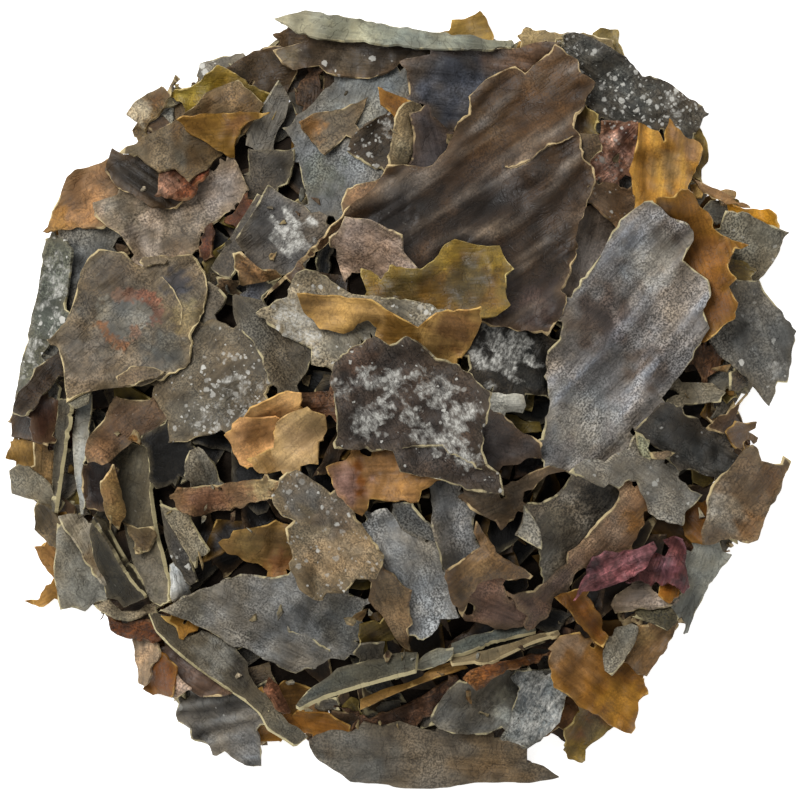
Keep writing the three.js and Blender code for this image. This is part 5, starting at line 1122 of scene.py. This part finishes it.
def driedBlade(look):
    material = bpy.data.materials.new(look["name"])
    material.use_nodes = True
    tree = material.node_tree
    tree.nodes.clear()
    leaf = node(tree, "Attribute", out="Vector", attribute_name="leaf")
    tint = node(tree, "Attribute", out="Color", attribute_name="tint")
    tooth = node(tree, "Attribute", out="Fac", attribute_name="tooth")
    rim = node(tree, "Attribute", out="Fac", attribute_name="rim")
    lengthwise = node(tree, "Mapping", {"Vector": leaf, "Scale": (bladeLook["drawnOut"], 1, 1)})
    fields = {}
    for layer, place, detail, fine, warp in (("cloud", leaf, 3, 0.55, 0.6), ("mottle", leaf, 4, 0.6, 0.5),
                                             ("fibre", lengthwise, 2, 0.5, 0), ("grain", leaf, 1, 0.5, 0)):
        fields[layer] = node(tree, "TexNoise", {"Vector": place, "Scale": 1 / look[layer], "Detail": detail,
                                                "Roughness": fine, "Distortion": warp})
    # the grain is crisp and comes and goes in patches, the other layers are soft
    patchy = node(tree, "MapRange", {"Value": fields["cloud"], "From Min": 0.4, "From Max": 0.62,
                                     "To Min": 0.35, "To Max": 1.5})
    peppered = node(tree, "Math", {0: patchy, 1: tooth}, operation="MULTIPLY")
    shade = 1.0
    for layer, field in fields.items():
        depth, half = look[layer + "Depth"], 0.1 if layer == "grain" else 0.14
        swing = node(tree, "MapRange", {"Value": field, "From Min": 0.5 - half, "From Max": 0.5 + half,
                                        "To Min": -depth, "To Max": depth})
        if layer == "grain":
            swing = node(tree, "Math", {0: swing, 1: peppered}, operation="MULTIPLY")
        shade = node(tree, "Math", {0: swing, 1: shade, 2: shade}, operation="MULTIPLY_ADD")

    # creases: thin dented lines where a slow noise passes its middle, darkened as painted shade
    slow = node(tree, "TexNoise", {"Vector": leaf, "Scale": 1 / bladeLook["slowSize"], "Detail": 3,
                                   "Roughness": 0.6, "Distortion": 0.5})
    off = node(tree, "Math", {0: slow, 1: 0.5}, operation="SUBTRACT")
    near = node(tree, "Math", {0: off}, operation="ABSOLUTE")
    crease = node(tree, "MapRange", {"Value": near, "From Min": 0.0, "From Max": bladeLook["creaseWidth"],
                                     "To Min": 1.0, "To Max": 0.0})
    paintedCreaseShade = node(tree, "Math", {0: crease, 1: -look["crease"], 2: 1.0}, operation="MULTIPLY_ADD")
    shade = node(tree, "Math", {0: shade, 1: paintedCreaseShade}, operation="MULTIPLY")

    # the blade's colour drifts between a cooler and a warmer tone
    shifted = node(tree, "VectorMath", {0: leaf, 1: bladeLook["driftStart"]}, operation="ADD")
    wander = node(tree, "TexNoise", {"Vector": shifted, "Detail": 5, "Roughness": 0.6,
                                     "Scale": bladeLook["driftScale"] / look["cloud"]})
    share = node(tree, "MapRange", {"Value": wander, "From Min": 0.38, "From Max": 0.62})
    cool, warm = [(*(linear(tone) / linear(bladeLook["midGrey"])), 1) for tone in look["drift"]]
    cast = node(tree, "Mix", {0: share, 6: cool, 7: warm}, out=2, data_type="RGBA")
    blade = node(tree, "VectorMath", {0: tint, 1: cast}, operation="MULTIPLY")

    # thin border with an uneven inner line
    colour, most, reach = look["border"]
    uneven = node(tree, "Math", {0: fields["cloud"], 1: 2.0, 2: rim}, operation="MULTIPLY_ADD")
    bordered = node(tree, "MapRange", {"Value": uneven, "From Min": 0.9, "From Max": 1.0 + reach,
                                       "To Min": most, "To Max": 0.0})
    skin = node(tree, "Mix", {0: bordered, 6: blade, 7: (*linear(colour), 1)}, out=2, data_type="RGBA")
    shaded = node(tree, "VectorMath", {0: skin, "Scale": shade}, operation="SCALE")
    if look["salt"] is not None:
        salted = driedSalt(tree, leaf)
        shaded = node(tree, "Mix", {0: salted, 6: shaded, 7: (*linear(saltLook["colour"]), 1)}, out=2,
                      data_type="RGBA")

    # torn edge: straw-coloured inside of the blade, bright on some stretches and bare on others
    broken = node(tree, "Math", {0: slow, 1: 1.1, 2: rim}, operation="MULTIPLY_ADD")
    torn = node(tree, "MapRange", {"Value": broken, "From Min": 0.5, "From Max": 0.66,
                                   "To Min": look["strawShare"], "To Max": 0.0})
    edged = node(tree, "Mix", {0: torn, 6: shaded, 7: (*linear(look["straw"]), 1)}, out=2, data_type="RGBA")

    # tooth of the surface: slow wrinkles, fibre and grain, creases and the salt crust on top
    relief = node(tree, "Math", {0: slow, 1: 1.5, 2: fields["fibre"]}, operation="MULTIPLY_ADD")
    relief = node(tree, "Math", {0: fields["grain"], 1: 0.3, 2: relief}, operation="MULTIPLY_ADD")
    relief = node(tree, "Math", {0: crease, 1: -0.3, 2: relief}, operation="MULTIPLY_ADD")
    if look["salt"]:
        relief = node(tree, "Math", {0: salted, 1: look["salt"], 2: relief}, operation="MULTIPLY_ADD")
    bump = node(tree, "Bump", {"Height": relief, "Strength": 0.8, "Distance": look["bump"] * metresPerMm})
    rough = node(tree, "MapRange", {"Value": fields["grain"], "From Min": 0.3, "From Max": 0.7,
                                    "To Min": look["rough"] - 0.08, "To Max": look["rough"] + 0.12})
    shader = node(tree, "BsdfPrincipled", {"Base Color": edged, "Roughness": rough, "IOR": look["ior"],
                                           "Specular IOR Level": look["gloss"], "Normal": bump})
    node(tree, "OutputMaterial", {"Surface": shader}, out=None)
    return material


# Look of the core: its darkest and lightest colour, both near black as painted shade of the heap's deep
# inside, and the size and height of its crumbs in mm
coreLook = dict(dark="120e0b", light="2e251d", crumbs=1.2, relief=0.4)


def paintedShadeCore():
    # crumbled kelp in the dark inside of the heap: near black as painted shade of its deep gaps, rough
    material = bpy.data.materials.new("kelp_core_painted_shade")
    material.use_nodes = True
    tree = material.node_tree
    tree.nodes.clear()
    place = node(tree, "TexCoord", out="Object")
    crumbs = node(tree, "TexNoise", {"Vector": place, "Scale": 1 / (coreLook["crumbs"] * metresPerMm),
                                     "Detail": 5, "Roughness": 0.65})
    ramp = node(tree, "Mix", {0: crumbs, 6: (*linear(coreLook["dark"]), 1),
                              7: (*linear(coreLook["light"]), 1)}, out=2, data_type="RGBA")
    bump = node(tree, "Bump", {"Height": crumbs, "Strength": 1.0,
                               "Distance": coreLook["relief"] * metresPerMm})
    shader = node(tree, "BsdfPrincipled", {"Base Color": ramp, "Roughness": 0.85, "Specular IOR Level": 0.1,
                                           "Normal": bump})
    node(tree, "OutputMaterial", {"Surface": shader}, out=None)
    return material


def meshPiece(name, points, faces, material):
    mesh = bpy.data.meshes.new(name)
    mesh.vertices.add(len(points))
    mesh.vertices.foreach_set("co", (points * metresPerMm).astype(np.float32).ravel())
    mesh.loops.add(3 * len(faces))
    mesh.loops.foreach_set("vertex_index", faces.astype(np.int32).ravel())
    mesh.polygons.add(len(faces))
    mesh.polygons.foreach_set("loop_start", np.arange(0, 3 * len(faces), 3, dtype=np.int32))
    mesh.polygons.foreach_set("use_smooth", np.ones(len(faces), bool))
    mesh.update(calc_edges=True)
    mesh.materials.append(material)
    piece = bpy.data.objects.new(name, mesh)
    bpy.context.scene.collection.objects.link(piece)
    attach(piece, "root")
    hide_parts(heapNode)
    return piece


meshPiece("kelp_core", np.c_[coreX, coreY, coreZ], coreFaces, paintedShadeCore())
total = len(coreFaces)
for kind, parts in made.items():
    starts = np.cumsum([0] + [len(p[0]) for p in parts[:-1]])
    faces = np.concatenate([p[1] + s for p, s in zip(parts, starts)])
    piece = meshPiece(f"kelp_{kind}_flakes", np.concatenate([p[0] for p in parts]), faces,
                      driedBlade({**finishPlain, **finishes[kind]}))
    for name, form, field in (("tint", "FLOAT_COLOR", "color"), ("leaf", "FLOAT_VECTOR", "vector"),
                              ("bloom", "FLOAT", "value"), ("frost", "FLOAT", "value"),
                              ("rim", "FLOAT", "value"), ("tooth", "FLOAT", "value")):
        values = np.concatenate([p[2][name] for p in parts]).astype(np.float32)
        piece.data.attributes.new(name, form, "POINT").data.foreach_set(field, values.ravel())
    total += len(faces)
    print(kind, "flakes:", len(parts), "triangles:", len(faces))
print("triangles in all:", total)

# Stage: plain white floor, soft light from above and the upper left, camera straight above
stage = dict(floorSide=3, floorColour="f7f6f3", floorGlow=0.8, world=0.42, keySide=0.6, keyPower=11,
             keyPlace=(-0.45, 0.42, 0.85), cameraHeight=1.5, fieldMm=100, aimHeightMm=10)
floorMesh = bpy.data.meshes.new("floor")
side = stage["floorSide"] / 2
floorMesh.from_pydata([(-side, -side, 0), (side, -side, 0), (side, side, 0), (-side, side, 0)], [],
                      [(0, 1, 2, 3)])
floor = bpy.data.objects.new("floor", floorMesh)
bpy.context.scene.collection.objects.link(floor)
white = bpy.data.materials.new("white_paper_sweep")
white.use_nodes = True
paper = white.node_tree.nodes["Principled BSDF"]
paper.inputs["Base Color"].default_value = (*linear(stage["floorColour"]), 1)
paper.inputs["Roughness"].default_value = 0.9
paper.inputs["Specular IOR Level"].default_value = 0.1
paper.inputs["Emission Color"].default_value = (1, 1, 1, 1)
paper.inputs["Emission Strength"].default_value = stage["floorGlow"]
floorMesh.materials.append(white)

world = bpy.data.worlds.new("studio")
bpy.context.scene.world = world
world.use_nodes = True
world.node_tree.nodes["Background"].inputs["Color"].default_value = (1, 1, 1, 1)
world.node_tree.nodes["Background"].inputs["Strength"].default_value = stage["world"]
softbox = bpy.data.lights.new("softbox", "AREA")
softbox.size = stage["keySide"]
softbox.energy = stage["keyPower"]
key = bpy.data.objects.new("softbox", softbox)
key.location = stage["keyPlace"]
key.rotation_mode = "QUATERNION"
key.rotation_quaternion = key.location.to_track_quat("Z", "Y")
bpy.context.scene.collection.objects.link(key)

cameraData = bpy.data.cameras.new("camera")
cameraData.sensor_width = 36
aim = stage["cameraHeight"] - stage["aimHeightMm"] * metresPerMm
cameraData.lens = cameraData.sensor_width * aim / (stage["fieldMm"] * metresPerMm)
cameraData.clip_end = 20
camera = bpy.data.objects.new("camera", cameraData)
camera.location = (0, 0, stage["cameraHeight"])
bpy.context.scene.collection.objects.link(camera)
bpy.context.scene.camera = camera
bpy.context.scene.view_settings.view_transform = "Standard"
print("stage ready")
